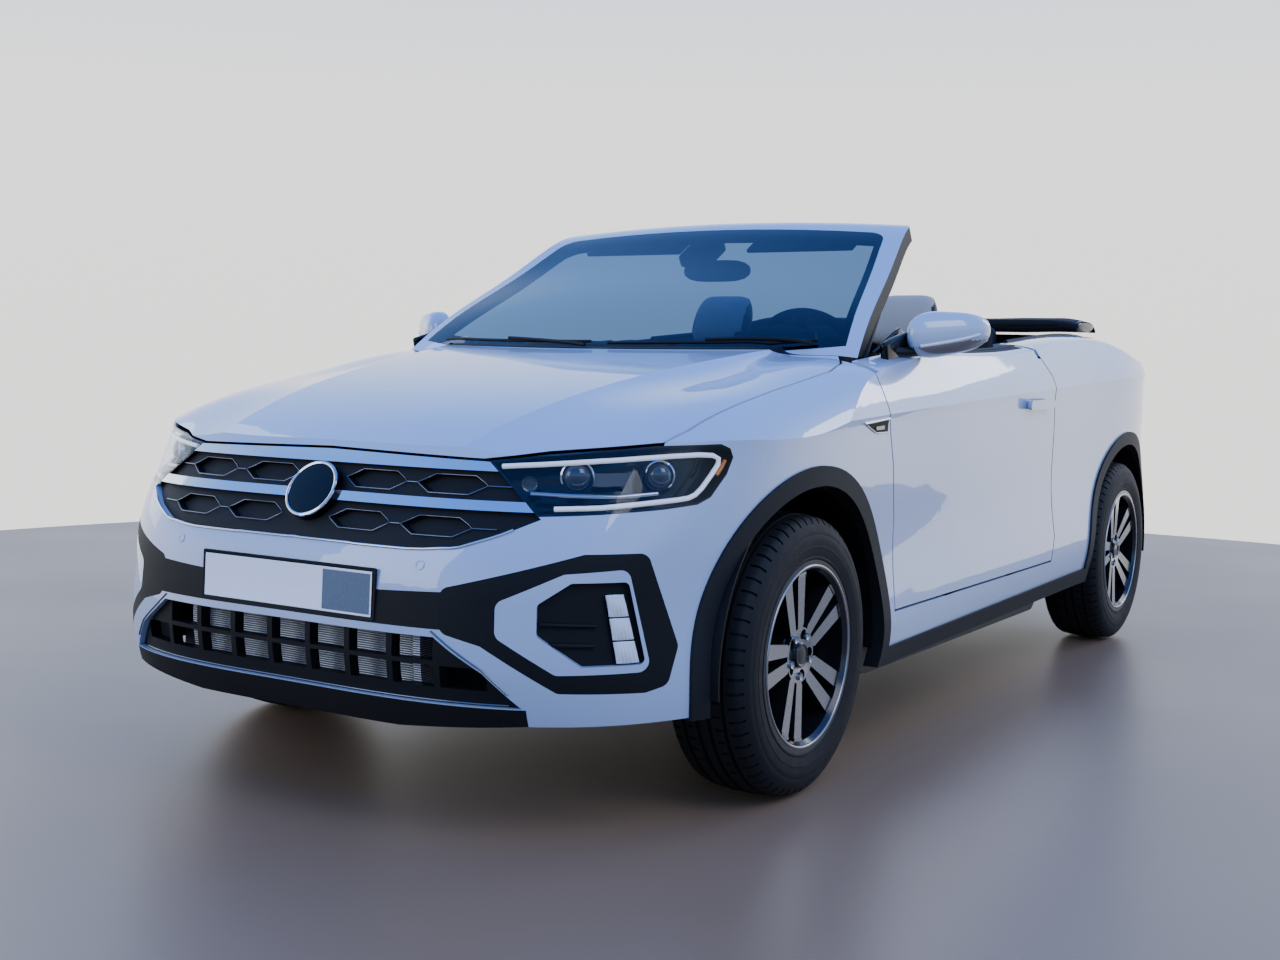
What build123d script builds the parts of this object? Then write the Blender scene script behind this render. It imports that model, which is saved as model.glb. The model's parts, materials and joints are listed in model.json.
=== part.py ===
from build123d import *
import math
import os

os.makedirs("parts", exist_ok=True)

# Compact open-top SUV. Millimetres, +X forward, +Y to the car's left, +Z up.
# The origin lies on the ground under the middle of the car.

# ---------------------------------------------------------------- driving dimensions
length = 4268
wheelbase = 2630
front_overhang = 828
half_length = length / 2
front_axle_x = half_length - front_overhang
rear_axle_x = front_axle_x - wheelbase

tyre_radius = 334
tyre_width = 215
rim_bead_radius = 214
wheel_middle_y = 773

shut_gap = 6            # between a panel that opens and what it shuts against
fixed_gap = 0.3         # between panels that are screwed or bonded together
side_wall = 34          # fender, quarter and bumper, skin to inner face
top_wall = 26           # bonnet and cowl, skin to inner face
cladding_rise = 7       # how far the dark cladding stands out from the paint
arch_radius = 400
arch_band = 47
front_well_y = 478      # inboard face of the front wheel well
rear_well_y = 640
door_inner_y = 770
sill_outer_y = door_inner_y - shut_gap
floor_z = 200
floor_thickness = 26

steer_axis_y = 700
steer_lock = 33
door_axis = (830, 893)
door_swing = 65
hood_axis = (832, 1074)
hood_swing = 48
lid_axis = (-1490, 1140)
lid_swing = 75


# ---------------------------------------------------------------- body surface
shoulder_slope = 0.042
shoulder_level = 930
# level: height of a line along the side, taken at the middle of the car, and half width there
widths_below = [
    (100, 820), (150, 838), (230, 864), (300, 877), (380, 886), (440, 883), (520, 874), (600, 872),
    (700, 876), (800, 883), (880, 886), (930, 892),
]
widths_above = [(930, 892), (980, 874), (1060, 838), (1150, 796), (1280, 735)]
# height, set back of the nose and of the tail
end_setbacks = [
    (60, 190, 150), (150, 110, 120), (230, 44, 80), (300, 24, 45), (380, 10, 18), (450, 12, 4),
    (550, 20, 0), (640, 52, 14), (700, 92, 26), (760, 128, 40), (850, 184, 72), (900, 214, 92),
    (980, 270, 120), (1060, 340, 152), (1150, 450, 200), (1260, 590, 270),
]
arch_flare = 14
flare_reach = 330


def smooth_between(value, table, column):
    """Monotone cubic interpolation of one column of a table, held at its ends."""
    keys = [row[0] for row in table]
    heights = [row[column] for row in table]
    if value <= keys[0]:
        return heights[0]
    if value >= keys[-1]:
        return heights[-1]
    i = max(k for k in range(len(keys) - 1) if keys[k] <= value)
    slopes = [(heights[k + 1] - heights[k]) / (keys[k + 1] - keys[k]) for k in range(len(keys) - 1)]

    def tangent(k):
        if k in (0, len(keys) - 1) or slopes[k - 1] * slopes[k] <= 0:
            return 0 if k not in (0, len(keys) - 1) else slopes[min(k, len(slopes) - 1)]
        return 2 / (1 / slopes[k - 1] + 1 / slopes[k])

    step = keys[i + 1] - keys[i]
    t = (value - keys[i]) / step
    return (
        heights[i] * (1 + 2 * t) * (1 - t) ** 2
        + step * tangent(i) * t * (1 - t) ** 2
        + heights[i + 1] * t * t * (3 - 2 * t)
        - step * tangent(i + 1) * t * t * (1 - t)
    )


def flare(x):
    """Extra half width over each axle."""
    over_axles = (math.exp(-(((x - axle) / flare_reach) ** 2)) for axle in (front_axle_x, rear_axle_x))
    return arch_flare * sum(over_axles) - arch_flare / 2


def side_points(level, inset=0):
    """Points from the nose round the left side to the tail on a plane that rises gently to the rear."""
    widths = widths_below if level <= shoulder_level else widths_above
    half_width = smooth_between(level, widths, 1) - inset
    ends = (
        (1, 1, front_axle_x - 60, 2.5, 3.8),
        (-1, 2, rear_axle_x + 60, 2.8, 4.0),
    )
    quarters = []
    for end, column, start, blunt, square in ends:
        quarter = []
        for degrees in (0, 14, 28, 42, 56, 70, 90):
            angle = math.radians(degrees)
            x = start
            for _ in range(12):
                z = level - shoulder_slope * x
                tip = end * (half_length - smooth_between(z, end_setbacks, column) - inset)
                x = start + (tip - start) * math.cos(angle) ** (2 / blunt)
            y = (half_width + flare(x)) * math.sin(angle) ** (2 / square)
            quarter.append((x, y, level - shoulder_slope * x))
        quarters.append(quarter)
    middle = [
        (x, half_width + flare(x), level - shoulder_slope * x) for x in (900, 500, 100, -300, -700, -1000)
    ]
    return quarters[0] + middle + quarters[1][::-1]


def run_length(points):
    return sum(math.dist(one, other) for one, other in zip(points, points[1:]))


def spacing(points):
    """Running distance along a row of points, from 0 to 1."""
    return [run_length(points[: count + 1]) / run_length(points) for count in range(len(points))]


side_spacing = spacing(side_points(shoulder_level))
side_speed = run_length(side_points(shoulder_level))


def side_line(level, inset=0):
    """Closed wire round the body; every level shares one spacing so that the surface stays smooth."""
    left = [Vector(*point) for point in side_points(level, inset)]
    right = [Vector(point.X, -point.Y, point.Z) for point in left]
    outward, inward = Vector(0, side_speed, 0), Vector(0, -side_speed, 0)
    return Wire(
        [
            Edge.make_spline(left, [outward, inward], parameters=side_spacing, scale=False),
            Edge.make_spline(right, [inward, outward], parameters=side_spacing, scale=False),
        ]
    )


lower_levels = (100, 190, 290, 380, 470, 580, 690, 800, 880, shoulder_level)
upper_levels = (shoulder_level, 975, 1040, 1120, 1280)


def side_body(inset=0):
    """Everything inside the body's side, nose and tail surfaces."""
    low = Solid.make_loft([side_line(level, inset) for level in lower_levels])
    high = Solid.make_loft([side_line(level, inset) for level in upper_levels])
    return Part() + low + high


# x, height on the centre line, the crease's distance from it and height there,
# then the heights at the four distances of top_edge_y
top_edge_y = (700, 800, 870, 950)
top_sections = [
    (2300, 690, 330, 684, 640, 600, 560, 480),
    (2134, 752, 345, 746, 700, 660, 620, 540),
    (1982, 820, 362, 816, 762, 722, 670, 560),
    (1800, 888, 390, 885, 846, 806, 750, 620),
    (1500, 962, 435, 960, 932, 902, 850, 700),
    (1150, 1022, 495, 1018, 994, 972, 925, 760),
    (860, 1062, 555, 1056, 1036, 1020, 985, 860),
    (400, 1072, 600, 1066, 1060, 1052, 1020, 900),
    (-500, 1106, 600, 1102, 1098, 1092, 1060, 940),
    (-1200, 1142, 600, 1138, 1132, 1120, 1080, 940),
    (-1600, 1130, 600, 1118, 1098, 1070, 1020, 880),
    (-1950, 1050, 600, 1034, 1008, 975, 920, 780),
    (-2300, 820, 600, 804, 775, 735, 680, 560),
]
top_foot = 20
slope_spacing = spacing([(y,) for y in (500,) + top_edge_y])


def top_line(row, drop=0):
    """Closed wire across the car: the top surface, then down and under."""
    x, centre, crease_y, crease = row[:4]
    edge_heights = row[4:]
    edges = []
    for side in (1, -1):
        crown = [
            Vector(x, side * crease_y, crease - drop),
            Vector(x, side * crease_y / 2, (crease + 3 * centre) / 4 - drop),
            Vector(x, 0, centre - drop),
        ]
        slope = [Vector(x, side * crease_y, crease - drop)]
        for y, height in zip(top_edge_y, edge_heights):
            slope.append(Vector(x, side * y, height - drop))
        corner = slope[-1]
        foot = Vector(x, corner.Y, top_foot)
        half = [
            Edge.make_spline(crown[::-1], parameters=[0, 0.5, 1]),
            Edge.make_spline(slope, parameters=slope_spacing),
            Edge.make_line(corner, foot),
        ]
        edges.append(half)
    left, right = edges
    base = Edge.make_line(Vector(x, top_edge_y[-1], top_foot), Vector(x, -top_edge_y[-1], top_foot))
    return Wire(left + [base] + right)


def under_top(drop=0):
    """Everything below the bonnet, belt and rear deck surface."""
    return Part() + Solid.make_loft([top_line(row, drop) for row in top_sections])


def body_form(inset=0, drop=0):
    return side_body(inset) & under_top(drop)


# ---------------------------------------------------------------- regions that cut the surface into panels
def side_region(outline, inner, outer, rounding=0):
    """Prism through the left side: outline of (x, z), between two distances from the middle."""
    with BuildPart() as region:
        with BuildSketch(Plane(origin=(0, outer, 0), x_dir=(1, 0, 0), z_dir=(0, -1, 0))) as face:
            with BuildLine():
                Polyline(*outline, close=True)
            make_face()
            if rounding:
                fillet(face.vertices(), rounding)
        extrude(amount=outer - inner)
    return region.part


def top_region(outline, bottom, top, rounding=0):
    """Upright prism: outline of (x, y)."""
    with BuildPart() as region:
        with BuildSketch(Plane.XY.offset(bottom)) as face:
            with BuildLine():
                Polyline(*outline, close=True)
            make_face()
            if rounding:
                fillet(face.vertices(), rounding)
        extrude(amount=top - bottom)
    return region.part


def turned_region(outline, turn, near, far, rounding=0, grow=0):
    """Prism along a level direction turned from straight ahead: outline of (across, z)."""
    angle = math.radians(turn)
    ahead = Vector(math.cos(angle), math.sin(angle), 0)
    across = (-math.sin(angle), math.cos(angle), 0)
    with BuildPart() as region:
        with BuildSketch(Plane(origin=ahead * near, x_dir=across, z_dir=ahead)) as face:
            with BuildLine():
                Polyline(*outline, close=True)
            make_face()
            if rounding:
                fillet(face.vertices(), rounding)
            if grow:
                offset(amount=grow, kind=Kind.INTERSECTION)
        extrude(amount=far - near)
    return region.part


def mirrored(shape):
    return mirror(shape, about=Plane.XZ)


def keep(shape, name):
    """Label a finished piece and write it to its own file."""
    shape.label = name
    export_step(shape, "parts/" + name + ".step")


def keep_pair(left, name):
    """Write a piece of the left side and its mirror image."""
    keep(left, name + "_left")
    keep(mirrored(left), name + "_right")


def both_sides(left):
    """A piece and its mirror image, two solids or one where they meet."""
    with BuildPart() as both:
        add(left)
        mirror(about=Plane.XZ)
    return both.part


outer = body_form()
inner = body_form(side_wall, top_wall)
far = 1300              # past every surface of the car


def disc(x, radius, near_y, far_y):
    """Cylinder along the axles, on an axle's centre line."""
    with BuildPart() as cylinder:
        with BuildSketch(Plane(origin=(x, far_y, tyre_radius), x_dir=(1, 0, 0), z_dir=(0, -1, 0))):
            Circle(radius)
        extrude(amount=far_y - near_y)
    return cylinder.part


with BuildPart() as wells:
    add(disc(front_axle_x, arch_radius, front_well_y, far))
    add(disc(rear_axle_x, arch_radius, rear_well_y, far))
with BuildPart() as bands:
    add(disc(front_axle_x, arch_radius + arch_band, front_well_y, far))
    add(disc(rear_axle_x, arch_radius + arch_band, front_well_y, far))

# ---------------------------------------------------------------- outlines of the panels
door_outline = [
    (813, 383), (813, 615), (852, 763), (904, 893), (910, 983), (914, 1160), (-330, 1160),
    (-377, 1052), (-433, 988), (-505, 460), (-470, 383),
]
bumper_seam = [(1560, 60), (1572, 655), (1694, 740)]
rear_bumper_seam = [(-1660, 60), (-1690, 640), (-1790, 711)]
sill_band_top = (291, 313)      # height of the dark band's top edge at the front and rear of the sill
lid_edge_x = -1490
lid_half_width = 575
lid_bottom_z = rear_bumper_seam[-1][1]
deck_front_x = -1330
cabin_half_width = 690


def door_region(grow=0, inside=door_inner_y):
    with BuildPart() as region:
        with BuildSketch(Plane(origin=(0, far, 0), x_dir=(1, 0, 0), z_dir=(0, -1, 0))):
            with BuildLine():
                Polyline(*door_outline, close=True)
            make_face()
            if grow:
                offset(amount=grow, kind=Kind.INTERSECTION)
        extrude(amount=far - inside)
    return region.part


hood_corner = (852, 712)
hood_rear_x = 1006
hood_lip_z = 797


def hood_region(grow=0):
    """Upright prism over the bonnet; its shut lines at the side and rear, the nose left open."""
    side = [(2100, 700), (1787, 742), (1690, 757), (1320, 763), (1050, 781), (950, 764), hood_corner]
    with BuildPart() as region:
        with BuildSketch(Plane.XY.offset(hood_lip_z - grow)) as face:
            with BuildLine():
                Polyline((2100, -side[0][1]), *side)
                ThreePointArc(hood_corner, (hood_rear_x, 0), (hood_corner[0], -hood_corner[1]))
                Polyline(*[(x, -y) for x, y in side[::-1]])
            make_face()
            corners = face.vertices().filter_by(lambda v: 900 < v.X < 1800)
            fillet(corners, 60)
            if grow:
                offset(amount=grow, kind=Kind.ARC)
        extrude(amount=1000)
    return region.part


grille_outline = [
    (0, 806), (441, 797), (585, 686), (514, 650), (436, 623), (324, 614), (0, 616),
    (-324, 614), (-436, 623), (-514, 650), (-585, 686), (-441, 797),
]
lamp_turn = 38
lamp_outline = [
    (-864, 799), (-764, 691), (-630, 697), (-497, 706), (-424, 714), (-394, 728), (-356, 776),
    (-341, 812), (-348, 831), (-370, 841), (-512, 838), (-736, 817),
]
trim_turn = 30
trim_outline = [
    (-690, 540), (-470, 597), (-390, 618), (-262, 618), (-196, 420), (-216, 340), (-262, 328),
    (-440, 334), (-600, 428), (-690, 450),
]
ring_outline = [(-570, 518), (-430, 578), (-300, 586), (-250, 372), (-444, 372), (-570, 448)]
fog_outline = [(-484, 516), (-415, 560), (-300, 560), (-262, 388), (-392, 388), (-484, 452)]
intake_outline = [
    (405, 440), (443, 414), (511, 372), (583, 300), (-583, 300), (-511, 372), (-443, 414), (-405, 440),
]
band_top = 516
band_bottom = 456
band_half_width = 480

lamp_zone = turned_region(lamp_outline, lamp_turn, 1000, 2600)
grille_zone = turned_region(grille_outline, 0, 1000, 2600)
open_lamp = turned_region(lamp_outline, lamp_turn, 1000, 2600, grow=shut_gap)
open_grille = turned_region(grille_outline, 0, 1000, 2600, grow=shut_gap)
trim_zone = turned_region(trim_outline, trim_turn, 1000, 2600, rounding=24)
ring_zone = turned_region(ring_outline, trim_turn, 1000, 2600, rounding=22)
fog_zone = turned_region(fog_outline, trim_turn, 1000, 2600, rounding=12)
intake_zone = turned_region(intake_outline, 0, 1000, 2600)
band_zone = turned_region(
    [(-band_half_width, band_bottom), (band_half_width, band_bottom), (band_half_width, band_top + 20),
     (0, band_top), (-band_half_width, band_top + 20)], 0, 1000, 2600)
lip_zone = turned_region([(-590, 262), (-300, 238), (300, 238), (590, 262), (590, 298), (-590, 298)], 0, 1500, 2600)
nose_zone = side_region(bumper_seam + [(far * 2, 740), (far * 2, 60)], -far, far)
tail_zone = side_region(rear_bumper_seam + [(-far * 2, rear_bumper_seam[-1][1]), (-far * 2, 60)], -far, far)
fender_zone = side_region(
    [(800, 60), (800, 2000), (far * 2, 2000), (far * 2, 60)], 0, far)
lid_zone = turned_region(
    [(-lid_half_width, lid_bottom_z), (lid_half_width, lid_bottom_z), (lid_half_width - 25, 1250),
     (25 - lid_half_width, 1250)], 0, -2600, lid_edge_x)
left_half = side_region([(-far * 2, 0), (far * 2, 0), (far * 2, 2000), (-far * 2, 2000)], 0, far)


sill_line = [(880, sill_band_top[0]), (-900, sill_band_top[1])]
paint_bottom_z = 262
lower_zone = side_region(
    [(-far * 2, 60), (far * 2, 60), (far * 2, paint_bottom_z), (sill_line[0][0], paint_bottom_z)] + sill_line
    + [(sill_line[1][0], paint_bottom_z), (-far * 2, paint_bottom_z)], 0, far)
cabin_zone = top_region(
    [(hood_corner[0], -cabin_half_width), (hood_corner[0], cabin_half_width),
     (deck_front_x, cabin_half_width), (deck_front_x, -cabin_half_width)], 600, 2000)


def half_of(shape):
    """The left half of a body form."""
    with BuildPart() as half:
        add(shape)
        add(left_half, mode=Mode.INTERSECT)
    return half.part


def largest(shape):
    """The biggest solid of a shape: drops slivers that a cut leaves at its edges."""
    return Part() + shape.solids().sort_by(SortBy.VOLUME)[-1]


outer_left = half_of(outer)
inner_left = half_of(inner)


def panel(zones, cuts, front=outer_left, back=inner_left):
    """What lies between two body forms, inside all zones and outside all cuts."""
    with BuildPart() as piece:
        add(front)
        for zone in zones:
            add(zone, mode=Mode.INTERSECT)
        for cut in cuts:
            add(cut, mode=Mode.SUBTRACT)
        add(back, mode=Mode.SUBTRACT)
    return largest(piece.part)


open_hood = hood_region(shut_gap)
open_door = door_region(shut_gap, inside=0)
band_cut = bands.part
hood = both_sides(panel([hood_region()], [open_lamp, open_grille]))
keep(hood, "hood")

fender = panel(
    [fender_zone], [lower_zone, band_cut, nose_zone, open_hood, open_door, lamp_zone, grille_zone, cabin_zone])
keep_pair(fender, "fender")

bumper_cuts = [lower_zone, band_cut, lamp_zone, grille_zone, trim_zone, band_zone, intake_zone, lip_zone]
bumper = panel([nose_zone], bumper_cuts)
keep(both_sides(bumper), "front_bumper")

tail_lamp_turn = 150
tail_lamp_zone = turned_region([(150, 822), (620, 800), (620, 955), (150, 925)], tail_lamp_turn, 900, 2600)
deck_zone = top_region(
    [(lid_edge_x, -1), (lid_edge_x, cabin_half_width), (deck_front_x, cabin_half_width), (deck_front_x, -1)],
    900, 2000)
side_zone = side_region([(-far * 2, 60), (-far * 2, 2000), (800, 2000), (800, 60)], 0, far)
body_side = panel(
    [side_zone], [lower_zone, band_cut, open_door, tail_zone, lid_zone, cabin_zone, deck_zone, tail_lamp_zone])
keep_pair(body_side, "body_side")
tail_lamp = panel([side_zone, tail_lamp_zone], [lid_zone])
keep(both_sides(tail_lamp), "tail_lamps")
rear_bumper = panel([tail_zone], [lower_zone, band_cut])
keep(both_sides(rear_bumper), "rear_bumper")
lid_panel = side_region(
    [(-far * 2, lid_bottom_z + shut_gap), (lid_edge_x - shut_gap, lid_bottom_z + shut_gap),
     (lid_edge_x - shut_gap, 1300), (-far * 2, 1300)], 0, lid_half_width - 25 - shut_gap)
lid = panel([lid_panel], [])
keep(both_sides(lid), "trunk_lid")
deck = panel(
    [top_region([(lid_edge_x + fixed_gap, -1), (lid_edge_x + fixed_gap, cabin_half_width - fixed_gap),
                 (deck_front_x, cabin_half_width - fixed_gap), (deck_front_x, -1)], 900, 2000)], [])
keep(both_sides(deck), "rear_deck")
cowl = panel(
    [top_region([(700, -1), (700, cabin_half_width - fixed_gap), (hood_corner[0], cabin_half_width - fixed_gap),
                 (hood_rear_x + 60, 300), (hood_rear_x + 60, -1)], 900, 2000)], [open_hood])
keep(both_sides(cowl), "cowl")

# ---------------------------------------------------------------- lamps, grilles and trims let into the skin
lamp_depth = 70
glass_thickness = 4
grille_recess = 14
bar_depth = 26
cell_depth = 14
ahead = top_region([(1500, -1), (2400, -1), (2400, far), (1500, far)], 0, 2000)
recessed_body = side_body(grille_recess)
recessed = half_of(recessed_body)
behind_grille = side_body(grille_recess + bar_depth)


def barrel_zone(across, height, radius, turn=lamp_turn):
    """Round prism along a turned direction."""
    size = radius - 0.01
    square = [(across - size, height - size), (across + size, height - size),
              (across + size, height + size), (across - size, height + size)]
    return turned_region(square, turn, 1000, 2600, rounding=radius - 0.5)


def cell_outline(middle, height, half_width, half_height):
    """Long hexagon with level long sides."""
    flat = half_width - 2 * half_height
    return [(middle - half_width, height), (middle - flat, height + half_height),
            (middle + flat, height + half_height), (middle + half_width, height),
            (middle + flat, height - half_height), (middle - flat, height - half_height)]


lens = panel([lamp_zone], [], back=side_body(glass_thickness))
keep(both_sides(lens), "headlamp_lenses")
projectors = ((-680, 765, 34), (-508, 768, 40))     # across the lamp, height, radius
lamp_back = side_body(lamp_depth)
barrel_front = half_of(side_body(glass_thickness + 22))
lamp_wall = 5
lamp_inside = turned_region(lamp_outline, lamp_turn, 1000, 2600, grow=-lamp_wall)
# foot behind the bumper skin that carries the lamp
lamp_tab = turned_region([(-640, 672), (-560, 672), (-560, 712), (-640, 712)], lamp_turn, 1000, 2600)
with BuildPart() as lamp:
    add(panel([lamp_zone], [], front=half_of(side_body(lamp_depth - 15)), back=lamp_back))
    add(panel([lamp_zone], [lamp_inside], front=half_of(side_body(glass_thickness + fixed_gap)), back=lamp_back))
    add(panel([lamp_tab], [], front=half_of(side_body(side_wall + fixed_gap)),
              back=side_body(side_wall + fixed_gap + lamp_wall)))
    for across, height, radius in projectors:
        barrel = panel([barrel_zone(across, height, radius)], [barrel_zone(across, height, radius - 5)],
                       front=barrel_front, back=side_body(lamp_depth - 5))
        add(barrel)
keep(both_sides(lamp.part), "headlamps")

cell_pitch = 202
cell_half_width = 88
cell_half_height = 20
upper_cells_z = 747
lower_cells_z = 662
bar_heights = ((778, 806), (699, 719))     # lower and upper edge of each bright bar
grille = panel([grille_zone, ahead], [lamp_zone], front=recessed, back=behind_grille)
with BuildPart() as cells:
    for height in (upper_cells_z, lower_cells_z):
        for number in (0.5 + 0.28, 1.5 + 0.28):
            middle = number * cell_pitch
            add(turned_region(cell_outline(middle, height, cell_half_width, cell_half_height), 0, 1800, 2300))
    add(side_body(grille_recess + cell_depth), mode=Mode.SUBTRACT)
with BuildPart() as celled_grille:
    add(grille)
    add(cells.part, mode=Mode.SUBTRACT)
keep(both_sides(celled_grille.part), "upper_grille")
bar_face = half_of(side_body(2))
badge_radius = 70
badge_lean = math.radians(32)
badge_place = Vector(2018, 0, 705)
with BuildPart() as bars:
    for low, high in bar_heights:
        bar_zone = turned_region([(-700, low), (700, low), (700, high), (-700, high)], 0, 1000, 2600)
        add(panel([bar_zone, grille_zone, ahead], [lamp_zone], front=bar_face, back=recessed_body))
badge_plane = Plane(origin=badge_place, x_dir=(0, 1, 0), z_dir=(math.cos(badge_lean), 0, math.sin(badge_lean)))
with BuildPart() as bright_bars:
    add(bars.part)
    mirror(about=Plane.XZ)
    with BuildSketch(badge_plane):
        Circle(badge_radius)
    extrude(amount=26)
    add(celled_grille.part, mode=Mode.SUBTRACT)
    add(mirrored(celled_grille.part), mode=Mode.SUBTRACT)
keep(bright_bars.part, "grille_bars")

vane_pitch = 115
vane_gap = 100
vane_rows = ((332, 378), (388, 436))
intake = panel([intake_zone, ahead], [lip_zone], front=recessed, back=behind_grille)
with BuildPart() as lattice:
    add(intake)
    for row, (low, high) in enumerate(vane_rows):
        for number in range(5 - row):
            near = max(number * vane_pitch - vane_gap / 2, -1)
            edge = number * vane_pitch + vane_gap / 2
            add(turned_region([(near, low), (edge, low), (edge, high), (near, high)], 0, 1800, 2300),
                mode=Mode.SUBTRACT)
keep(both_sides(lattice.part), "lower_grille")
radiator_x = 2046       # front face of the core
radiator_thickness = 36
radiator_half_width = 345
with BuildPart() as radiator:
    with Locations((radiator_x - radiator_thickness / 2, 0, 383)):
        Box(radiator_thickness, 2 * radiator_half_width, 150)
    for side in (1, -1):
        with Locations((radiator_x, side * (radiator_half_width - 9), 383)):
            Box(100, 18, 150)
    add(side_body(grille_recess + bar_depth + fixed_gap), mode=Mode.INTERSECT)
keep(radiator.part, "radiator")
lip = panel([lip_zone, ahead], [])
keep(both_sides(lip), "front_lip")
with BuildPart() as trim:
    add(panel([band_zone, ahead], [trim_zone]))
    add(panel([trim_zone, ahead], [ring_zone, band_cut]))
keep(both_sides(trim.part), "bumper_trim")
keep(both_sides(panel([ring_zone, ahead], [fog_zone])), "bumper_rings")
keep(both_sides(panel([fog_zone, ahead], [], front=recessed)), "fog_panels")

# ---------------------------------------------------------------- dark cladding round the arches and along the sill
proud = side_body(-cladding_rise)
with BuildPart() as cover:
    add(band_cut)
    add(side_region(sill_line + [(sill_line[1][0], 195), (sill_line[0][0], 195)], 0, far))
road_zone = side_region([(-3000, 0), (3000, 0), (3000, 255), (1400, 255), (850, 244), (-860, 260), (-3000, 260)],
                        0, far)
cladding = panel([cover.part], [wells.part, road_zone], front=half_of(proud), back=side_body(side_wall))
keep(both_sides(cladding), "claddings")

# ---------------------------------------------------------------- doors
door_flange_y = 846     # outboard of this the door is as large as its opening allows
with BuildPart() as step:
    add(door_region(60, inside=door_inner_y))
    add(door_region(-20, inside=0), mode=Mode.SUBTRACT)
    add(side_region([(-2000, 0), (2000, 0), (2000, 2000), (-2000, 2000)], door_flange_y, far), mode=Mode.SUBTRACT)
with BuildPart() as door:
    add(outer_left)
    add(door_region(0), mode=Mode.INTERSECT)
    add(step.part, mode=Mode.SUBTRACT)
handle_outline = [(-150, 884), (-146, 914), (-378, 914), (-386, 884)]
handle_rise = 22
grip = panel([side_region(handle_outline, 0, far, rounding=12)], [],
             front=half_of(side_body(-handle_rise)), back=side_body(-handle_rise / 2))
with BuildPart() as handle:
    add(grip)
    for x in (-190, -342):
        foot = side_region([(x - 22, 886), (x + 22, 886), (x + 22, 912), (x - 22, 912)], 0, far)
        add(panel([foot], [], front=half_of(side_body(-handle_rise / 2 - 1)), back=side_body(5)))
with BuildPart() as handled_door:
    add(largest(door.part))
    add(handle.part)
keep_pair(largest(handled_door.part), "door")

# ---------------------------------------------------------------- windscreen and its frame
screen_base_x = 807     # lower outer corner of the glass
screen_base_z = 1063
screen_base_y = 713
screen_top_y = 572
screen_height = 650     # up the slope
screen_slope = math.radians(30.2)
glass_edge_gap = 0.3
screen_glass = 5
frame_depth = 46
glass_rounding = 60
header_rounding = 115
# distance up the slope, fall of the outer edge, bulge at the middle
screen_sections = [(-300, 0, 72), (0, 0, 66), (350, 0, 54), (650, 0, 42), (735, -14, 38), (803, -50, 34)]


def screen_form(drop=0):
    """Everything behind the curved plane of the windscreen and its header."""
    up = Vector(-math.cos(screen_slope), 0, math.sin(screen_slope))
    base = Vector(screen_base_x, 0, screen_base_z)
    with BuildPart() as form:
        for height, edge, bulge in screen_sections:
            with BuildSketch(Plane(origin=base + up * height, x_dir=(0, -1, 0), z_dir=up)):
                with BuildLine():
                    wide = screen_base_y + 70
                    edge_fall = bulge * ((wide / screen_base_y) ** 2 - 1)
                    ThreePointArc((-wide, edge - edge_fall - drop), (0, edge + bulge - drop),
                                  (wide, edge - edge_fall - drop))
                    Polyline((wide, edge - edge_fall - drop), (wide, -400), (-wide, -400),
                             (-wide, edge - edge_fall - drop))
                make_face()
        loft()
    return form.part


def screen_region(grow=0, header=0):
    """Prism square to the glass: the pane's outline, grown at its edges."""
    facing = Vector(math.sin(screen_slope), 0, math.cos(screen_slope))
    base = Vector(screen_base_x, 0, screen_base_z)
    with BuildPart() as region:
        with BuildSketch(Plane(origin=base - facing * 150, x_dir=(0, 1, 0), z_dir=facing)) as pane:
            with BuildLine():
                low = -(grow + (20 if header else 0))
                ThreePointArc((-screen_base_y - grow, low), (0, low - 158), (screen_base_y + grow, low))
                top = screen_height + grow + header
                top_y = screen_top_y + grow - header * 0.2
                Polyline((screen_base_y + grow, low), (top_y, top), (-top_y, top), (-screen_base_y - grow, low))
            make_face()
            fillet(pane.vertices().group_by(Axis.Y)[-1], header_rounding if header else glass_rounding)
        extrude(amount=320)
    return region.part


screen_skin = screen_form()
with BuildPart() as windscreen:
    add(screen_skin)
    add(screen_region(), mode=Mode.INTERSECT)
    add(screen_form(screen_glass), mode=Mode.SUBTRACT)
    add(outer, mode=Mode.SUBTRACT)
keep(largest(windscreen.part), "windscreen")
with BuildPart() as screen_frame:
    add(screen_skin)
    add(screen_region(52, 98), mode=Mode.INTERSECT)
    add(screen_form(frame_depth), mode=Mode.SUBTRACT)
    add(screen_region(glass_edge_gap), mode=Mode.SUBTRACT)
    add(outer, mode=Mode.SUBTRACT)
keep(largest(screen_frame.part), "windscreen_frame")

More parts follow.
